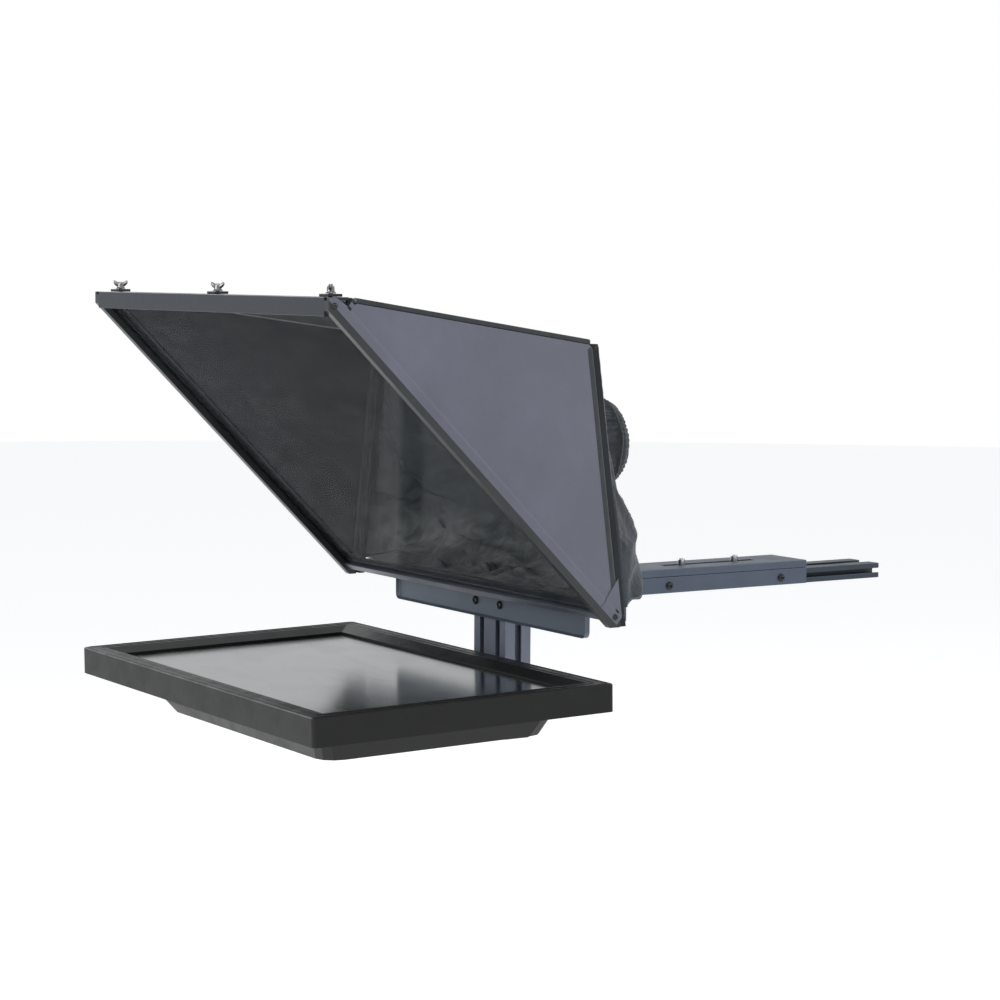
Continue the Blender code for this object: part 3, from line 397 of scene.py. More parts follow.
def proofing():
    """The shroud's grey proofed inside: a rubbery coat, paler along creases, with painted light low down and
    painted highlights on the creases there.
    """
    colour = (0.045, 0.051, 0.057)
    p = Paint("shroud_proofing")
    weave = p.weave()
    crease = p.noise(30, 5, 0.7, 1.4)
    cloud = p.noise(10, 4, 0.6)
    base = p.shades(cloud, colour, 0.70, 1.30)
    base = p.mix(p.ramp(crease, 0.0, 0.40, 0.54, 0.66), base, (0.090, 0.098, 0.100))
    # Painted light: the proofing is painted lighter low down, standing for light falling inside near the
    # base bar, and lighter still on its creases there as painted highlights.
    height = p.node("SeparateXYZ", Vector=p.coords)
    painted_light_low = p.ramp(height.outputs["Z"], 0.85, 0.0, 0.040, 0.085)
    dust_and_painted_light = p.ramp(crease, (0.110, 0.121, 0.124), (0.230, 0.245, 0.240), 0.40, 0.62)
    base = p.mix(painted_light_low, base, dust_and_painted_light)
    base = p.mix(p.ramp(weave, 0.2, 0.0, 0.1, 0.5), base, shade(colour, 0.5))
    p.bump(crease, 0.0030)
    p.bump(weave, 0.00004)
    return p.set(base, p.ramp(cloud, 0.50, 0.68), specular=0.30, sheen=0.10, sheen_roughness=0.4)


def elastic_cord():
    """Braided black elastic."""
    p = Paint("elastic_cord")
    braid = p.wave(700, "DIAGONAL", 1.5)
    base = p.ramp(braid, (0.012, 0.013, 0.014), (0.045, 0.047, 0.050), 0.2, 0.8)
    p.bump(braid, 0.00012)
    return p.set(base, 0.7, specular=0.3, sheen=0.3)


def silvered_glass():
    """Thin part-silvered glass, mostly clear, with wipe marks and a few specks of dust."""
    p = Paint("silvered_glass")
    wipe = p.noise(16, 4, 0.6, 1.5, coords=p.stretch((1, 2.4, 2.4), (0.5, 0, 0)))
    dust_and_painted_light = p.cells(70)
    alpha = p.ramp(wipe, 0.08, 0.13, 0.4, 0.7)
    alpha = p.maths("ADD", alpha, p.ramp(dust_and_painted_light, 0.15, 0.0, 0.0, 0.018))
    return p.set((0.026, 0.036, 0.038), p.ramp(wipe, 0.03, 0.07), alpha=alpha, specular=0.15)


def screen():
    """Glossy display glass with faint smears and dust."""
    p = Paint("screen_glass")
    smear = p.noise(11, 5, 0.6, 1.2, coords=p.stretch((1, 1.6, 1)))
    dust_and_painted_light = p.cells(160)
    base = p.ramp(smear, (0.008, 0.0140, 0.0115), (0.013, 0.021, 0.017))
    base = p.mix(p.ramp(dust_and_painted_light, 0.30, 0.0, 0.0, 0.03), base, (0.12, 0.12, 0.12))
    p.bump(p.noise(5200, 1), 0.0000015)
    return p.set(base, p.ramp(smear, 0.13, 0.20), specular=0.7, coat=0.8, coat_roughness=0.13)


def circuit():
    """Green board with winding tracks and gold pads."""
    p = Paint("circuit_board")
    tracks = p.wave(120, "X", 6.0)
    pads = p.cells(260)
    base = p.ramp(tracks, (0.010, 0.055, 0.022), (0.018, 0.110, 0.045), 0.45, 0.55)
    base = p.mix(p.ramp(pads, 1.0, 0.0, 0.0, 0.12), base, (0.55, 0.42, 0.18))
    p.bump(tracks, 0.00004)
    return p.set(base, p.ramp(pads, 0.25, 0.45, 0.0, 0.2), specular=0.5)


# Mesh helpers.

def piece(name, bm, paint, body, replaces=(), smooth=38):
    """A piece from a bmesh; edges sharper than smooth degrees stay sharp."""
    mesh = bpy.data.meshes.new(name)
    bmesh.ops.recalc_face_normals(bm, faces=bm.faces[:])
    bm.to_mesh(mesh)
    bm.free()
    mesh.polygons.foreach_set("use_smooth", [True] * len(mesh.polygons))
    mesh.set_sharp_from_angle(angle=radians(smooth))
    made = add_object(name, mesh)
    mesh.materials.append(PAINTS[paint])
    if replaces:
        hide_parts(*replaces)
    if body:
        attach(made, body)
    return made


def skin(bm, rings, ends=True, closed=True, joined=False):
    """Faces over rings of points, or open rows where closed is off; ends caps the run, joined closes it."""
    rings = [[bm.verts.new(point) for point in ring] for ring in rings]
    count = len(rings[0])
    for first, second in zip(rings, rings[1:] + [rings[0]] * joined):
        for i in range(count if closed else count - 1):
            j = (i + 1) % count
            bm.faces.new((first[i], first[j], second[j], second[i]))
    if ends:
        bm.faces.new(rings[0][::-1])
        bm.faces.new(rings[-1])


def across(axis):
    """Two directions across an axis, the first of them level where the axis isn't upright."""
    axis = Vector(axis).normalized()
    side = axis.orthogonal().normalized()
    if abs(axis.z) < 0.9:
        side = Vector((0, 0, 1)).cross(axis).normalized()
    return side, axis.cross(side)


def lathe(bm, base, axis, profile, sides=48, radius_at=None):
    """A turned body: profile lists (distance along the axis, radius), closed at both ends."""
    axis = Vector(axis).normalized()
    u, v = across(axis)
    rings = []
    for k, (along, radius) in enumerate(profile):
        ring = []
        for i in range(sides):
            turn = tau * i / sides
            r = radius_at(k, turn, radius) if radius_at else radius
            ring.append(Vector(base) + axis * along + (u * cos(turn) + v * sin(turn)) * r)
        rings.append(ring)
    skin(bm, rings)


def tube(bm, path, radius, sides=10, closed=False):
    """A round bar along a path, capped unless it closes on itself."""
    rings = []
    count = len(path)
    for i, point in enumerate(path):
        before = path[(i - 1) % count] if closed or i else path[i]
        after = path[(i + 1) % count] if closed or i < count - 1 else path[i]
        ahead = (after - before).normalized()
        u, v = across(ahead)
        turns = [tau * k / sides for k in range(sides)]
        rings.append([point + (u * cos(turn) + v * sin(turn)) * radius for turn in turns])
    skin(bm, rings, ends=not closed, joined=closed)


def socket_screw(bm, seat, out, head, height, sides):
    """A button head with a chamfered hexagon socket, standing on seat and facing out."""
    key = head * 0.46

    def hexagon(turn, radius):
        part = (turn + pi / 6) % (pi / 3) - pi / 6
        return radius * cos(pi / 6) / cos(part)

    profile = [(0.0, head * 0.97), (height * 0.18, head), (height * 0.42, head * 0.97),
               (height * 0.66, head * 0.86), (height * 0.85, head * 0.70), (height * 0.95, head * 0.58),
               (height * 0.95, key * 1.16), (height * 0.84, key), (height * 0.25, key),
               (height * 0.12, key * 0.5)]
    socket_start = 7
    lathe(bm, seat, out, profile, sides,
          lambda k, turn, radius: hexagon(turn, radius) if k >= socket_start else radius)


def rounded(points, radii, steps=5):
    """A convex polygon's outline with each corner rounded."""
    out = []
    count = len(points)
    for i, corner in enumerate(points):
        corner = Vector(corner)
        before = (Vector(points[i - 1]) - corner).normalized()
        after = (Vector(points[(i + 1) % count]) - corner).normalized()
        half = before.angle(after) / 2
        radius = radii[i]
        reach = radius / tan(half)
        centre = corner + (before + after).normalized() * radius / sin(half)
        start = corner + before * reach - centre
        end = corner + after * reach - centre
        for k in range(steps + 1):
            mixed = start.lerp(end, k / steps)
            out.append(centre + mixed.normalized() * radius)
    return out


def inset(points, by):
    """Each corner of a convex polygon moved in, so that every side moves in by the same amount."""
    count = len(points)
    area = sum(points[i - 1][0] * points[i][1] - points[i][0] * points[i - 1][1] for i in range(count))
    turn = 1 if area > 0 else -1
    out = []
    for i, corner in enumerate(points):
        corner = Vector(corner)
        back = (corner - Vector(points[i - 1])).normalized()
        ahead = (Vector(points[(i + 1) % count]) - corner).normalized()
        n1 = Vector((-back.y, back.x)) * turn
        n2 = Vector((-ahead.y, ahead.x)) * turn
        bisector = (n1 + n2).normalized()
        out.append(tuple(corner + bisector * by / bisector.dot(n1)))
    return out


# The hood's boards.

def board(bm, corners, radii, thick, place, edge):
    """A board with softened edges; place(u, v, t) puts a point t below its outer face."""
    steps = ((edge, 0.0), (edge * 0.3, edge * 0.3), (0.0, edge), (0.0, thick - edge),
             (edge * 0.3, thick - edge * 0.3), (edge, thick))
    rings = []
    for inward, t in steps:
        outline = rounded(inset(corners, inward), [max(r - inward, 0.0002) for r in radii])
        rings.append([place(p.x, p.y, t) for p in outline])
    skin(bm, rings)


def binding(bm, outline, thick, place, width, cloth=0.00028):
    """Tape folded over a board's edge along an open outline, given with its inward directions."""
    section = [(width, -cloth), (width * 0.5, -cloth * 1.25), (0.0006, -cloth), (-cloth, 0.0004),
               (-cloth, thick - 0.0004), (0.0006, thick + cloth), (width * 0.5, thick + cloth * 1.25),
               (width, thick + cloth), (width, thick + 0.00002), (0.0006, thick - 0.0001),
               (0.0002, thick - 0.0006), (0.0002, 0.0006), (0.0006, 0.0001), (width, -0.00002)]
    skin(bm, [[place(point.x + inward.x * d, point.y + inward.y * d, t) for d, t in section]
              for point, inward in outline])


def stitching(bm, path, lift, place, length=0.0026, gap=0.0013, radius=0.00022):
    """A row of thread stitches along path, each a flat bead that dips into the cloth at its ends."""
    run = 0.0
    outwards = 1 if lift < 0 else -1
    for a, b in zip(path, path[1:]):
        span = (b - a).length
        if span < 1e-9:
            continue
        while run + length < span:
            start, end = a.lerp(b, run / span), a.lerp(b, (run + length) / span)
            ahead = (end - start).normalized()
            side = Vector((-ahead.y, ahead.x))
            rings = []
            for k, swell in ((0.0, 0.35), (0.25, 0.9), (0.5, 1.0), (0.75, 0.9), (1.0, 0.35)):
                middle = start.lerp(end, k)
                ring = []
                for s in range(6):
                    turn = tau * s / 6
                    flat = middle + side * cos(turn) * radius * swell
                    dip = (1 - swell) * radius * 0.6 * outwards
                    height = lift - sin(turn) * radius * swell * 0.8 + dip
                    ring.append(place(flat.x, flat.y, height))
                rings.append(ring)
            skin(bm, rings)
            run += length + gap
        run -= span


def edge_path(corners, radii, first, last):
    """The rounded outline from the middle of corner first to the middle of corner last, each point
    with its inward direction."""
    steps = 6
    outline = rounded(corners, radii, steps)
    start, end = (corner * (steps + 1) + steps // 2 for corner in (first, last))
    chosen = [outline[i % len(outline)] for i in range(start, end + 1)]
    middle = sum((Vector(c) for c in corners), Vector((0, 0))) / len(corners)
    path = []
    for i, point in enumerate(chosen):
        before, after = chosen[max(i - 1, 0)], chosen[min(i + 1, len(chosen) - 1)]
        ahead = (after - before).normalized()
        inward = Vector((-ahead.y, ahead.x))
        if inward.dot(middle - point) < 0:
            inward = -inward
        path.append((point, inward))
    return path


def covered_board(name, node, body, corners, radii, thick, edge, lining, bound, width, seam, place):
    """A board, its lining (inset, corner radius, thickness, edge), and the tape bound over its edge
    from one corner to another, with stitches that far in and that far off the board."""
    inwards, radius, lined, lining_edge = lining
    bm = bmesh.new()
    board(bm, corners, radii, thick - lined, place, edge)
    piece(f"hood_{name}_board", bm, "board", body, (node,))
    bm = bmesh.new()
    board(bm, inset(corners, inwards), [radius] * len(corners), lined,
          lambda u, v, t: place(u, v, thick - lined + t), lining_edge)
    piece(f"hood_{name}_lining", bm, "lining", body)
    path = edge_path(corners, radii, *bound)
    bm = bmesh.new()
    binding(bm, path, thick, place, width)
    piece(f"hood_{name}_binding", bm, "binding", body, smooth=50)
    bm = bmesh.new()
    line = [point + inward * seam[0] for point, inward in path]
    for lift in (-seam[1], thick + seam[1]):
        stitching(bm, line, lift, place)
    piece(f"hood_{name}_stitching", bm, "thread", body, smooth=60)


PANEL_LOW = 0.0214
SIDE_CORNERS = [(-0.0003, PANEL_LOW), (0.0123 - PANEL_LOW, PANEL_LOW), (-0.2823, 0.2947),
                (-0.2753, 0.3005), (-0.0003, 0.2608)]
SIDE_RADII = [0.0020, 0.0015, 0.0015, 0.0025, 0.0060]
SIDE_LINING = (0.0009, 0.002, 0.0004, 0.0001)
SIDE_SEAM = (0.0047, 0.00034)
ROOF_FRONT, ROOF_REAR = -0.2753, -0.0003
ROOF_RADII = [0.0015, 0.0015, 0.0050, 0.0050]
ROOF_LINING = (0.0011, 0.003, 0.0006, 0.0002)
ROOF_SEAM = (0.0038, 0.00036)
SEAL_FRONT, SEAL_REAR = -0.2735, -0.0066
SIDES = ((-1, "left"), (1, "right"))

# The leatherette facing over each side bar and its hinge.
SLOPE_LENGTH = 0.306 * sqrt(2)
BAR_BACK = 0.0055  # the side bars' back face, behind the glass plane
HINGE_GAP = 0.0033  # over which the facing steps from the bar on to the board
FACING_EDGE = -0.0013  # the facing leaves the side bar's front edge bare
TAPE_LOW = 0.0302  # where the tape starts, up the slope
TAPE_TOP = 0.4125  # where it ends on the board
TAPE_LIFT = 0.00022  # how far it stands off the board
GUSSET_LOW = 0.0052
GUSSET_HIGH = TAPE_LOW - 0.0005
GUSSET_OVERLAP = 0.0040  # how far the gusset reaches past its height, behind the glass plane
GUSSET_LIFT = 0.0008


def make_side_boards():
    for side, name in SIDES:
        def place(u, v, t, side=side):
            return hood(side * (side_x(u, v) - t), u, v)

        covered_board(name, f"hood_{name}_panel", f"{name}_side", SIDE_CORNERS, SIDE_RADII, PANEL, 0.0006,
                      SIDE_LINING, (4, 5), 0.0062, SIDE_SEAM, place)
        make_seal(name, side)


def make_seal(name, side):
    """The pile strip along a side board's top edge, which closes the gap under the roof."""
    steps = 120
    bm = bmesh.new()
    rings = []
    for i in range(steps + 1):
        y = SEAL_FRONT + (SEAL_REAR - SEAL_FRONT) * i / steps
        under = roof_top(y) - ROOF
        low, high = under - 0.00065, under - 0.00042
        brush = 0.00003 * sin(i * 2.1)
        section = ((0.0004, low), (0.0005, high + brush), (0.0012, high + 0.00003),
                   (0.0019, high - brush), (0.0020, low))
        rings.append([hood(side * (side_x(y, high) - d), y, z) for d, z in section])
    skin(bm, rings)
    piece(f"hood_{name}_seal", bm, "lining", f"{name}_side", smooth=60)


def facing_x(s, n, lift):
    """Half width of the facing's outer side, s up the slope and n behind the glass plane."""
    bar = side_x(*on_slope(s, 0.0)) + 0.0003
    if n <= BAR_BACK:
        return bar
    ease = min(1.0, (n - BAR_BACK) / HINGE_GAP)
    return bar * (1 - ease) + (side_x(*on_slope(s, n)) + lift) * ease


def sheet_grid(columns, side):
    """An open sheet over the hood's side from columns of (s, n, half width)."""
    bm = bmesh.new()
    skin(bm, [[hood(side * x, *on_slope(s, n)) for s, n, x in column] for column in columns],
         ends=False, closed=False)
    return bm


def make_facings():
    """Leatherette on each side bar: a tape that carries on over the hinge on to the board, and a
    corner gusset."""
    # Points of the tape's section: n behind the glass plane, and how far it moves out there.
    stations = [(FACING_EDGE, -0.00025), (-0.0011, -0.00005), (-0.0008, 0.0), (0.0005, 0.0),
                (0.0030, 0.0), (0.0050, 0.0), (0.0058, -0.0001), (0.0065, -0.0001), (0.0073, 0.0),
                (0.0081, 0.0), (0.0088, 0.0), (0.0100, -0.00003), (0.0120, -0.00008),
                (0.0138, -0.00013), (0.0150, -0.00018)]
    tape_steps, gusset_steps, gusset_points = 140, 30, 24
    for side, name in SIDES:
        columns = []
        for i in range(tape_steps + 1):
            column = []
            for n, out in stations:
                top = SLOPE_LENGTH - abs(n) - 0.0004
                if n > BAR_BACK:
                    top += (TAPE_TOP - top) * min(1.0, (n - BAR_BACK) / HINGE_GAP)
                s = TAPE_LOW + (top - TAPE_LOW) * i / tape_steps
                column.append((s, n, facing_x(s, n, TAPE_LIFT) + out))
            columns.append(column)
        made = piece(f"hood_{name}_facing_tape", sheet_grid(columns, side), "board", None, smooth=60)
        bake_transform(made)
        columns = []
        for i in range(gusset_steps + 1):
            s = GUSSET_LOW + (GUSSET_HIGH - GUSSET_LOW) * i / gusset_steps
            last = s + GUSSET_OVERLAP
            column = []
            for k in range(gusset_points + 1):
                n = FACING_EDGE + (last - FACING_EDGE) * k / gusset_points
                tucked = 0.00025 if k in (0, gusset_points) else 0.0
                column.append((s, n, facing_x(s, n, GUSSET_LIFT) - tucked))
            columns.append(column)
        made = piece(f"hood_{name}_corner_gusset", sheet_grid(columns, side), "board", "frame",
                     smooth=60)


def make_roof_board():
    front_half, rear_half = (side_x(y, roof_top(y)) for y in (ROOF_FRONT, ROOF_REAR))
    corners = [(-front_half, ROOF_FRONT), (front_half, ROOF_FRONT), (rear_half, ROOF_REAR),
               (-rear_half, ROOF_REAR)]

    def place(u, v, t):
        return hood(u, v, roof_top(v) - t)

    covered_board("roof", "hood_top_flap", "roof", corners, ROOF_RADII, ROOF, 0.0009, ROOF_LINING,
                  (1, 4), 0.0050, ROOF_SEAM, place)


# The lens shroud.

HOOP_Y = 0.0073
SLEEVE_START = 0.105
SLEEVE_END = 0.150
MOUTH_Y = 0.158
SLEEVE_RADIUS = 0.046
MOUTH_RADIUS = 0.041
LENS_HEIGHT = 0.153
ROOM = 0.0014  # how far the cloth's middle lies inside the CAD solid's outer face
HANG = 0.012  # how far its lower back is pushed rearwards
BELLY = 0.010  # how far it stands out below, halfway along
HEAP = 0.0085  # how far it is drawn in where it lies in folds on the base bar
SETTLE_FRAMES = 22
SETTLE_CAP = 0.0055  # the furthest that the simulation may move a point
SETTLE_STRETCH = 0.05
PROOFING_GAP = 0.0007  # between the cloth and its proofed inside


def shroud_base(y, turn):
    """The middle of the cloth at a place round the shroud, without its folds."""
    blend = min(1.0, max(0.0, (y - HOOP_Y) / (SLEEVE_START - HOOP_Y)))
    tail = min(1.0, max(0.0, (y - SLEEVE_END) / (MOUTH_Y - SLEEVE_END)))
    radius = SLEEVE_RADIUS + (MOUTH_RADIUS - SLEEVE_RADIUS) * tail
    roof, floor = BACK_TOP - ROOF - 0.0010, 0.0165 + 0.0008
    centre = (roof + floor) / 2 * (1 - blend) + LENS_HEIGHT * blend
    right, up = cos(turn), sin(turn)
    square = 1.0 / max(abs(right), abs(up))
    ease = (0.6 * blend + 0.4 * blend * blend * (3 - 2 * blend)) ** (1.0 + 1.6 * max(0.0, -up))
    hoop_z = floor + (roof - floor) * (up * square + 1) / 2
    hoop_x = right * square * (side_x(0.0, hoop_z) - 0.0015)
    x = hoop_x * (1 - ease) + radius * right * ease
    z = hoop_z * (1 - ease) + (LENS_HEIGHT + radius * up) * ease
    length = hypot(x, z - centre)
    keep = (length - ROOM) / length
    return Vector((x * keep, y, centre + (z - centre) * keep))


def shroud_folds(y, turn):
    """How far the cloth stands off its base: pleats from the sleeve that fade towards the hoop."""
    share = (y - HOOP_Y) / (MOUTH_Y - HOOP_Y)
    right, up = cos(turn), sin(turn)
    drift = noise.noise(Vector((right * 1.3, up * 1.3, share * 0.9 + 5))) * 1.6
    wide = sin(11 * turn + drift * 2.6 + 0.6)
    narrow = sin(23 * turn + drift * 3.4 + 1.1)
    tight = sin(47 * turn + 5 * drift)
    fade = min(1.0, share / 0.10)
    near = max(0.0, 1 - abs(share - 0.48) / 0.48)
    neck = min(1.0, max(0.0, (share - 0.45) / 0.3))
    pinch = max(0.0, 1 - abs(y - 0.144) / 0.007)
    pleats = 0.0034 * near * (abs(wide) ** 0.6 * (1 if wide > 0 else -1))
    pleats += 0.0017 * near * narrow + 0.0013 * neck * (1 - abs(narrow)) + 0.0007 * neck * tight
    crumple = noise.turbulence(Vector((right * 2.6, up * 2.6, share * 4.5)), 4, False)
    ridge = abs(noise.noise(Vector((right * 4.5 + 3, up * 4.5, share * 7.0))))
    stand = pleats + 0.0030 * crumple * (1 - 0.5 * neck) - 0.0030 * ridge * near
    low = min(1.0, max(0.0, (-up - 0.50) / 0.25)) * max(0.0, 1 - abs(share - 0.20) / 0.20)
    heap = noise.turbulence(Vector((right * 5.0, 7.0, share * 9.0)), 4, False)
    heap += abs(sin(19 * turn + drift * 4))
    belly = max(0.0, -up) ** 0.7 * max(0.0, 1 - abs(share - 0.5) / 0.42)
    return fade * (1 - 0.7 * pinch) * stand - 0.0008 * pinch - HEAP * low * heap + BELLY * belly


def outward(x, z):
    """The direction away from the lens's axis at a place across it."""
    return Vector((x, 0, z)).normalized()


def settle(made, around, along):
    """Let the cloth settle under its own weight, then keep that shape. It is held at the hoop, at the
    sleeve and where it is heaped on the base bar."""
    count = len(made.data.vertices)
    hoop, sleeve = around * 2, around * 15
    held = list(range(hoop)) + list(range(count - sleeve, count))
    heap = range(hoop, around * int(along * 0.38))
    held += [v for v in heap if sin(tau * (v % around + 0.5) / around) < -0.5]
    scene = bpy.context.scene
    group = made.vertex_groups.new(name="held")
    group.add(held, 1.0, "REPLACE")
    cloth = made.modifiers.new("settle", "CLOTH")
    settings = cloth.settings
    settings.quality = 5
    settings.mass = 0.12
    settings.tension_stiffness = 14
    settings.compression_stiffness = 10
    settings.shear_stiffness = 5
    settings.bending_stiffness = 0.08
    settings.shrink_min = -SETTLE_STRETCH
    settings.vertex_group_mass = "held"
    cloth.point_cache.frame_start = 1
    cloth.point_cache.frame_end = SETTLE_FRAMES
    for step in range(1, SETTLE_FRAMES + 1):
        scene.frame_set(step)
    settled = made.evaluated_get(bpy.context.evaluated_depsgraph_get())
    places = [v.co.copy() for v in settled.data.vertices]
    made.modifiers.remove(cloth)
    made.vertex_groups.remove(group)
    scene.frame_set(1)
    middle = hood(0.0, 0.0, LENS_HEIGHT)
    for vertex, place in zip(made.data.vertices, places):
        move = place - vertex.co
        if move.length > SETTLE_CAP:
            move *= SETTLE_CAP / move.length
        out = outward(vertex.co.x - middle.x, vertex.co.z - middle.z)
        outward_share = move.dot(out)
        if outward_share < 0.0:
            move -= out * outward_share * 0.8
        vertex.co += move


def make_shroud():
    around, along = 300, 76
    bm = bmesh.new()
    rings = []
    for j in range(along + 1):
        share = j / along
        y = HOOP_Y + (MOUTH_Y - 0.0006 - HOOP_Y) * share
        ring = []
        for i in range(around):
            turn = tau * (i + 0.5) / around
            base = shroud_base(y, turn)
            hang = max(0.0, -sin(turn)) ** 0.7 * max(0.0, 1 - abs(share - 0.55) / 0.37)
            point = base + outward(base.x, base.z - LENS_HEIGHT) * shroud_folds(y, turn)
            point += Vector((0.0, HANG * hang, 0.0))
            ring.append(hood(*point))
        rings.append(ring)
    skin(bm, rings, ends=False)
    made = piece("shroud_cloth", bm, "nylon", None, ("lens_shroud",), smooth=180)
    settle(made, around, along)
    lining = bmesh.new()
    lining.from_mesh(made.data)
    lining.normal_update()
    for vertex in lining.verts:
        inward = outward(-vertex.co.x, hood(0, 0, LENS_HEIGHT).z - vertex.co.z)
        along_normal = vertex.normal if vertex.normal.dot(inward) > 0 else -vertex.normal
        vertex.co += along_normal * PROOFING_GAP
    inner = piece("shroud_proofing", lining, "proofing", "frame", smooth=180)
    made.modifiers.new("smooth", "SUBSURF").levels = 1
    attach(made, "frame")
    make_elastic()
    make_hem(around)


def make_elastic():
    """The elastic round the sleeve, slightly uneven over the gathers."""
    bm = bmesh.new()
    centre = hood(0, 0.144, LENS_HEIGHT)
    path = []
    for i in range(120):
        turn = tau * i / 120
        radius = 0.0470 + 0.0003 * sin(29 * turn) + 0.0002 * sin(56 * turn)
        path.append(centre + Vector((cos(turn) * radius, 0.0006 * sin(7 * turn),
                                     sin(turn) * radius)))
    tube(bm, path, 0.0014, 10, closed=True)
    piece("shroud_elastic", bm, "elastic", "frame", ("neck_elastic",))


def make_hem(around):
    """The doubled hem over the hoop, with small wrinkles."""
    section = [(0.0, 0.0006), (0.0012, 0.0011), (0.0034, 0.0011), (0.0046, 0.0006), (0.0046, -0.0001),
               (0.0, -0.0001)]
    bm = bmesh.new()
    rings = []
    for i in range(around):
        turn = tau * (i + 0.5) / around
        wrinkle = 1 + 0.25 * sin(90 * turn)
        ring = []
        for back, lift in section:
            base = shroud_base(HOOP_Y + 0.0004 + back, turn)
            out = outward(base.x, base.z - LENS_HEIGHT)
            ring.append(hood(*(base + out * lift * wrinkle)))
        rings.append(ring)
    skin(bm, rings, ends=False, joined=True)
    piece("shroud_hem", bm, "nylon", "frame", smooth=60)


# Fasteners, knobs and thumbscrews.

def middle_of(name):
    low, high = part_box(name)
    return (low + high) / 2, low, high


def screw(name, seat, out, head, height, body, node=None):
    """A socket screw's head, which stands for a CAD screw or is one of scene.py's own."""
    bm = bmesh.new()
    socket_screw(bm, seat, out, head, height, 36 if node else 30)
    piece(name, bm, "oxide", body, (node,) if node else (), smooth=32)


def make_screws():
    # Each kind: the CAD node, head radius, head height, how deep the seat lies, and body.
    corner = (0.0028, 0.0016, 0.0017, "frame")
    cheek = (0.0042, 0.0024, 0.0025, "camera_carriage")
    kinds = (("corner_screw_{}_low", *corner), ("corner_screw_{}_high", *corner),
             ("cheek_screw_{}_front", *cheek), ("cheek_screw_{}_rear", *cheek))
    for side, word in SIDES:
        for kind, head, height, seated, body in kinds:
            node = kind.format(word)
            centre, low, high = middle_of(node)
            seat = Vector((side * (max(abs(low.x), abs(high.x)) - seated), centre.y, centre.z))
            screw(f"{node}_head", seat, (side, 0, 0), head, height, body, node)
        node = f"crossbar_bolt_{word}"
        centre, low, high = middle_of(node)
        seat = Vector((centre.x, low.y + 0.0026, centre.z))
        screw(f"{node}_head", seat, (0, -1, 0), 0.0043, 0.0026, "frame", node)
    # The small screws that aren't in the CAD: bracket, clamp, hoop and monitor plate.
    for i, x in enumerate((-0.009, 0.009)):
        screw(f"bracket_screw_low_{i + 1}", (x, -0.045, -0.0043), (0, 0, -1), 0.0038, 0.0022, "frame")
    for i, x in enumerate((-0.015, 0.015)):
        screw(f"bracket_screw_back_{i + 1}", (x, -0.0604, -0.022), (0, 1, 0), 0.0038, 0.0022, "frame")
        screw(f"clamp_bolt_{i + 1}", (x, -0.1020, -0.100), (0, -1, 0), 0.0042, 0.0026, "monitor_slide")
    for side, word in SIDES:
        for z, level in ((0.010, "low"), (0.2577, "high")):
            x = side * (side_x(0, z) - 0.0004)
            screw(f"hoop_screw_{word}_{level}", (x - side * 0.0006, -0.1064, z + HOOD_Z), (side, 0, 0.0),
                0.0022, 0.0012, "frame")
    spread = 0.050
    down = tilted(0, 0, -1) - tilted(0, 0, 0)
    for i, (x, y) in enumerate(((-spread, -spread), (spread, -spread), (-spread, spread), (spread, spread))):
        screw(f"plate_screw_{i + 1}", tilted(x, y, 0.0150), down, 0.0035, 0.0019, "monitor")


# The monitor, in its own frame about the tilt axis.

TILT_AXIS = (0, -0.272, -0.115)
SCREEN_LENGTH = 0.3097
SCREEN_THICK = 0.0073
CASING_HALF, CASING_FRONT, CASING_BACK = 0.250, -0.1585, 0.1591
BEAD_LEVEL = 0.0648
LOUVRE_LEVEL = 0.0183
LOUVRE_COUNT, LOUVRE_FIRST, LOUVRE_PITCH = 11, -0.095, 0.0160


def rest_tilt():
    """The monitor's rest tilt, from the rise between the screen's front and back edges."""
    low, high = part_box("lcd_panel")
    rise = (high.z - low.z) - SCREEN_THICK
    angle = asin(max(-1.0, min(1.0, rise / SCREEN_LENGTH)))
    places = [v.co for v in nodes["lcd_panel"].data.vertices]
    front = max(v.z for v in places if v.y < low.y + 0.01)
    back = max(v.z for v in places if v.y > high.y - 0.01)
    return Matrix.Translation(TILT_AXIS) @ Matrix.Rotation(angle if back > front else -angle, 4, "X")


MONITOR_TILT = rest_tilt()


def tilted(x, y, z):
    """A point of the monitor's own frame, at its rest tilt."""
    return MONITOR_TILT @ Vector((x, y, z))


def make_monitor_details():
    """Two fine raised beads round the top of the casing's rim, and rows of louvres underneath."""
    for name, inward, radius in (("outer", 0.0032, 0.00055), ("inner", 0.0128, 0.00045)):
        half, front, back = CASING_HALF - inward, CASING_FRONT + inward, CASING_BACK - inward
        corners = [(-half, front), (half, front), (half, back), (-half, back)]
        path = [tilted(p.x, p.y, BEAD_LEVEL) for p in rounded(corners, [0.004] * 4, 4)]
        bm = bmesh.new()
        tube(bm, path, radius, 8, closed=True)
        piece(f"monitor_bead_{name}", bm, "casing", "monitor", smooth=60)
    bm = bmesh.new()
    for x0, x1 in ((0.080, 0.136), (0.144, 0.200)):
        for i in range(LOUVRE_COUNT):
            y = LOUVRE_FIRST + LOUVRE_PITCH * i
            path = [tilted(x0 + (x1 - x0) * k / 8, y, LOUVRE_LEVEL + (0.0012 if k in (0, 8) else 0.0))
                    for k in range(9)]
            tube(bm, path, 0.0015, 10)
    piece("monitor_vent_louvres", bm, "casing", "monitor", smooth=60)


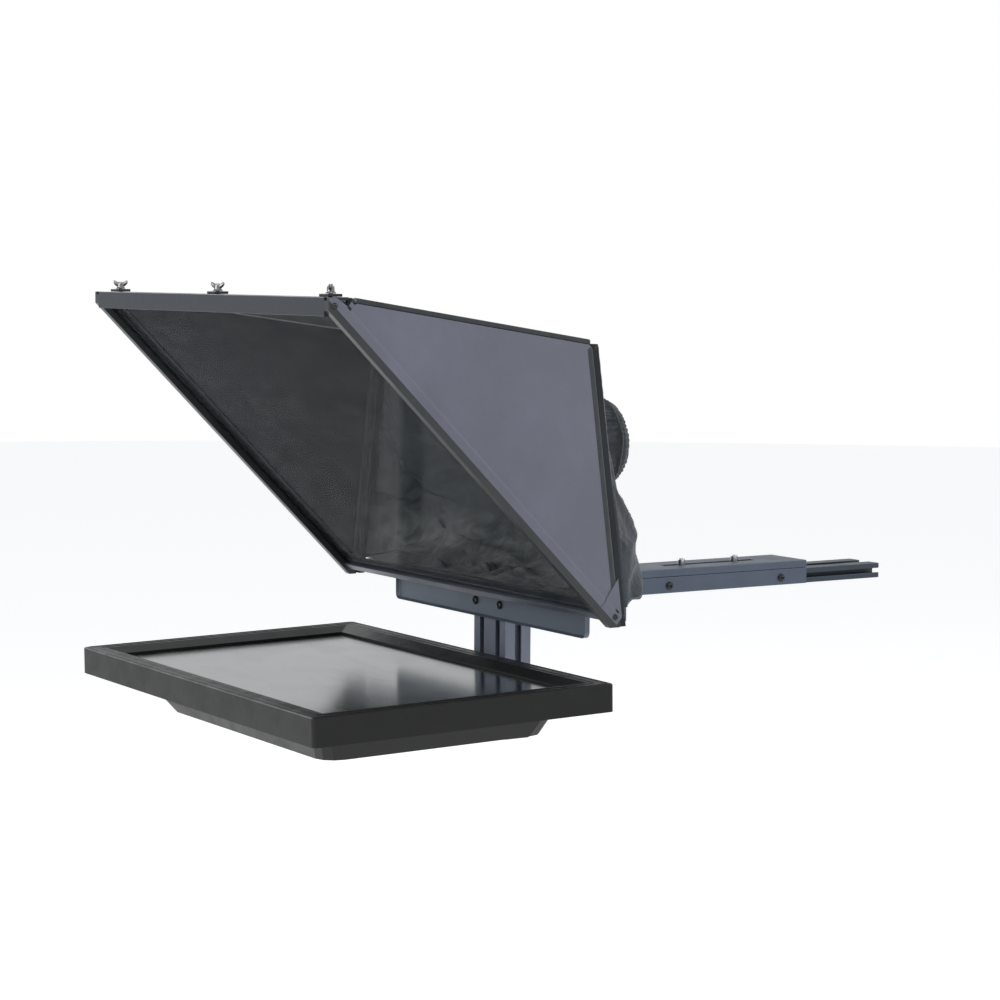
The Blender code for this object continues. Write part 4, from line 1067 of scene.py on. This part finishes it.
def wing(bm, base, side, turn):
    """One flared wing: flattened sections that rise outwards from the hub."""
    ahead = Vector((cos(turn), sin(turn), 0)) * side
    thick_way = Vector((-ahead.y, ahead.x, 0))
    # Each section: how far out, how far up, and its half thickness and half height.
    stations = [(0.0008, 0.0036, 0.0020, 0.0026), (0.0026, 0.0042, 0.0018, 0.0026),
                (0.0042, 0.0050, 0.0015, 0.0027), (0.0055, 0.0058, 0.0014, 0.0026),
                (0.0065, 0.0063, 0.0013, 0.0020), (0.0071, 0.0065, 0.0009, 0.0011)]
    rings = []
    for out, up, half_thick, half_high in stations:
        ring = []
        for k in range(16):
            around = tau * k / 16
            place = base + ahead * (out + 0.35 * half_high * sin(around) * 0.4)
            place = (place + thick_way * half_thick * cos(around)
                     + Vector((0, 0, up + half_high * sin(around))))
            place.z = min(place.z, base.z + 0.0085)
            ring.append(place)
        rings.append(ring)
    skin(bm, rings)


def make_thumbscrews():
    """Cast wing screws: a flanged hub, two flared wings and the threaded stud."""
    hub = [(0.0, 0.0040), (0.0, 0.0045), (0.0006, 0.0047), (0.0012, 0.0044), (0.0018, 0.0036),
           (0.0030, 0.0034), (0.0044, 0.0034), (0.0058, 0.0033), (0.0066, 0.0028), (0.0069, 0.0016)]
    pitch, root, crest = 0.0007, 0.00155, 0.0019
    for word, turn in (("left", 1.25), ("centre", 0.55), ("right", 2.5)):
        body = f"thumbscrew_{word}"
        centre, low, high = middle_of(body)
        base = Vector((centre.x, centre.y, high.z - 0.0086))
        bm = bmesh.new()
        lathe(bm, base, (0, 0, 1), hub, 48)
        for side in (-1, 1):
            wing(bm, base, side, turn)
        piece(f"{body}_plated", bm, "zinc", body, (body,), smooth=40)
        bm = bmesh.new()
        stud = []
        top, bottom = base.z + 0.0002, low.z + 0.0002
        along = 0.0
        while bottom + along < top:
            stud.append((along, root if len(stud) % 2 else crest))
            along += pitch / 2
        lathe(bm, Vector((base.x, base.y, bottom)), (0, 0, 1), stud, 24)
        piece(f"{body}_stud", bm, "chrome", body, smooth=60)


def make_knobs():
    """Lobed moulded knobs on plated studs, each with a moulded-in cap."""
    # Each knob: its body, side, hub and grip starts, radius, lobes, and the stud's end and radius.
    knobs = (("carriage_lock", -1, 0.0310, 0.0335, 0.0073, 5, 0.0312, 0.0011),
             ("height_lock", -1, 0.0368, 0.0395, 0.0157, 7, 0.0370, 0.0030),
             ("tilt_lock", 1, 0.0253, 0.0285, 0.0113, 6, 0.0255, 0.0039))
    for body, side, start, grip, radius, lobes, stud_end, thick in knobs:
        def lobed(k, turn, r, lobes=lobes):
            if 3 <= k <= 8:
                wave = cos(lobes * turn)
                return r * (0.93 + 0.07 * wave ** 2 * (1 if wave > 0 else -1))
            return r

        name = f"{body}_knob"
        centre, low, high = middle_of(name)
        stud, end = sorted((side * low.x, side * high.x))
        base, axis = (0, centre.y, centre.z), (side, 0, 0)
        hub = radius * 0.62
        profile = [(start, hub * 0.92), (start + 0.0004, hub), (grip - 0.0004, hub),
                   (grip, radius * 0.94), (grip + 0.0008, radius * 0.99), (grip + 0.0016, radius),
                   (end - 0.0022, radius), (end - 0.0010, radius * 0.985), (end - 0.0002, radius * 0.91),
                   (end, radius * 0.78), (end, radius * 0.56), (end - 0.0006, radius * 0.53),
                   (end - 0.0006, radius * 0.1)]
        bm = bmesh.new()
        lathe(bm, base, axis, profile, 144, lobed)
        piece(f"{name}_grip", bm, "knob", body, (name,), smooth=34)
        bm = bmesh.new()
        lathe(bm, base, axis, [(stud, thick * 0.9), (stud + 0.0004, thick), (stud_end - 0.0001, thick)], 32)
        piece(f"{name}_stud", bm, "chrome", body)
        cap = radius * 0.50
        bm = bmesh.new()
        lathe(bm, base, axis, [(end - 0.0005, cap), (end - 0.0001, cap * 0.98), (end, cap * 0.9),
                               (end + 0.0001, cap * 0.3)], 48)
        piece(f"{name}_cap", bm, "knob_cap", body)


# Finishes of the CAD nodes that keep their shape.

FINISHES = {
    "rail": "main_rail",
    "column": "monitor_column",
    "plate": "rail_bracket front_crossbar",
    "base_bar": "frame_base_bar",
    "rim": "frame_left_bar frame_right_bar",
    "top_bar": "frame_top_bar",
    "hoop": "hoop_left_post hoop_right_post hoop_top_rail",
    "cheek": "carriage_plate carriage_left_cheek carriage_right_cheek slide_clamp monitor_arm tilt_bracket",
    "oxide": "left_hinge_rod right_hinge_rod top_hinge_rod",
    "sockets": "connector_panel",
    "chrome": "camera_screw_front camera_screw_rear tilt_hinge_pin",
    "casing": "monitor_bezel monitor_rear_cover",
    "nylon_trim": "column_end_cap glass_clip_left glass_clip_centre glass_clip_right",
    "glide": "carriage_glide_liner",
    "button": "monitor_button_1 monitor_button_2 monitor_button_3 monitor_button_4",
    "glass": "beam_splitter_glass",
    "screen": "lcd_panel",
    "circuit": "monitor_board",
}


make_camera()
make_studio()
ALUMINIUM = (
    ("rail", (0.040, 0.050, 0.066), "Y", 1.5),
    ("column", (0.140, 0.157, 0.200), "Z", 1.5),
    ("plate", (0.100, 0.120, 0.150), "X", 1.5),
    ("cheek", (0.078, 0.094, 0.128), "Y", 1.5),
    ("base_bar", (0.078, 0.091, 0.114), "X", 1.5),
    ("rim", (0.042, 0.046, 0.047), None, 0.8),
    # The hoop's near-black tone is painted shade: it keeps its front face as dark as the shaded inside of
    # the hood, where the front light would otherwise light it.
    ("hoop", (0.018, 0.021, 0.026), None, 0.3),
    ("top_bar", (0.034, 0.039, 0.049), "X", 0.8),
)
PAINTS = {name: anodised(f"anodised_{name}", colour, along, worn)
          for name, colour, along, worn in ALUMINIUM}
PAINTS |= {
    "oxide": oxide_steel(),
    "chrome": plated("bright_plate"),
    "zinc": plated("dull_zinc", (0.26, 0.26, 0.27), 1.6),
    "board": laminated_board(),
    "lining": flocked(),
    "binding": ribbed_tape("binding_tape", (0.034, 0.040, 0.043), "DIAGONAL"),
    "thread": thread("binding_thread", (0.050, 0.056, 0.062)),
    "nylon": proofed_nylon(),
    "proofing": proofing(),
    "elastic": elastic_cord(),
    "glass": silvered_glass(),
    "screen": screen(),
    "circuit": circuit(),
    "casing": moulded("casing_plastic", (0.0085, 0.0087, 0.0085), 0.38, 0.000008, 0.22),
    "sockets": moulded("socket_plate", (0.030, 0.030, 0.032), 0.5),
    "nylon_trim": moulded("nylon_trim", (0.016, 0.016, 0.017), 0.5),
    "glide": moulded("glide_nylon", (0.55, 0.54, 0.50), 0.45),
    "button": moulded("button_rubber", (0.022, 0.022, 0.023), 0.6),
    "knob": moulded("knob_plastic", (0.018, 0.018, 0.019), 0.40),
    "knob_cap": moulded("knob_cap_plastic", (0.030, 0.030, 0.032), 0.30),
}
for paint, names in FINISHES.items():
    for name in names.split():
        materials = nodes[name].data.materials
        if not len(materials):
            materials.append(PAINTS[paint])
        for i in range(len(materials)):
            materials[i] = PAINTS[paint]
make_side_boards()
make_facings()
make_roof_board()
make_shroud()
make_screws()
make_monitor_details()
make_thumbscrews()
make_knobs()
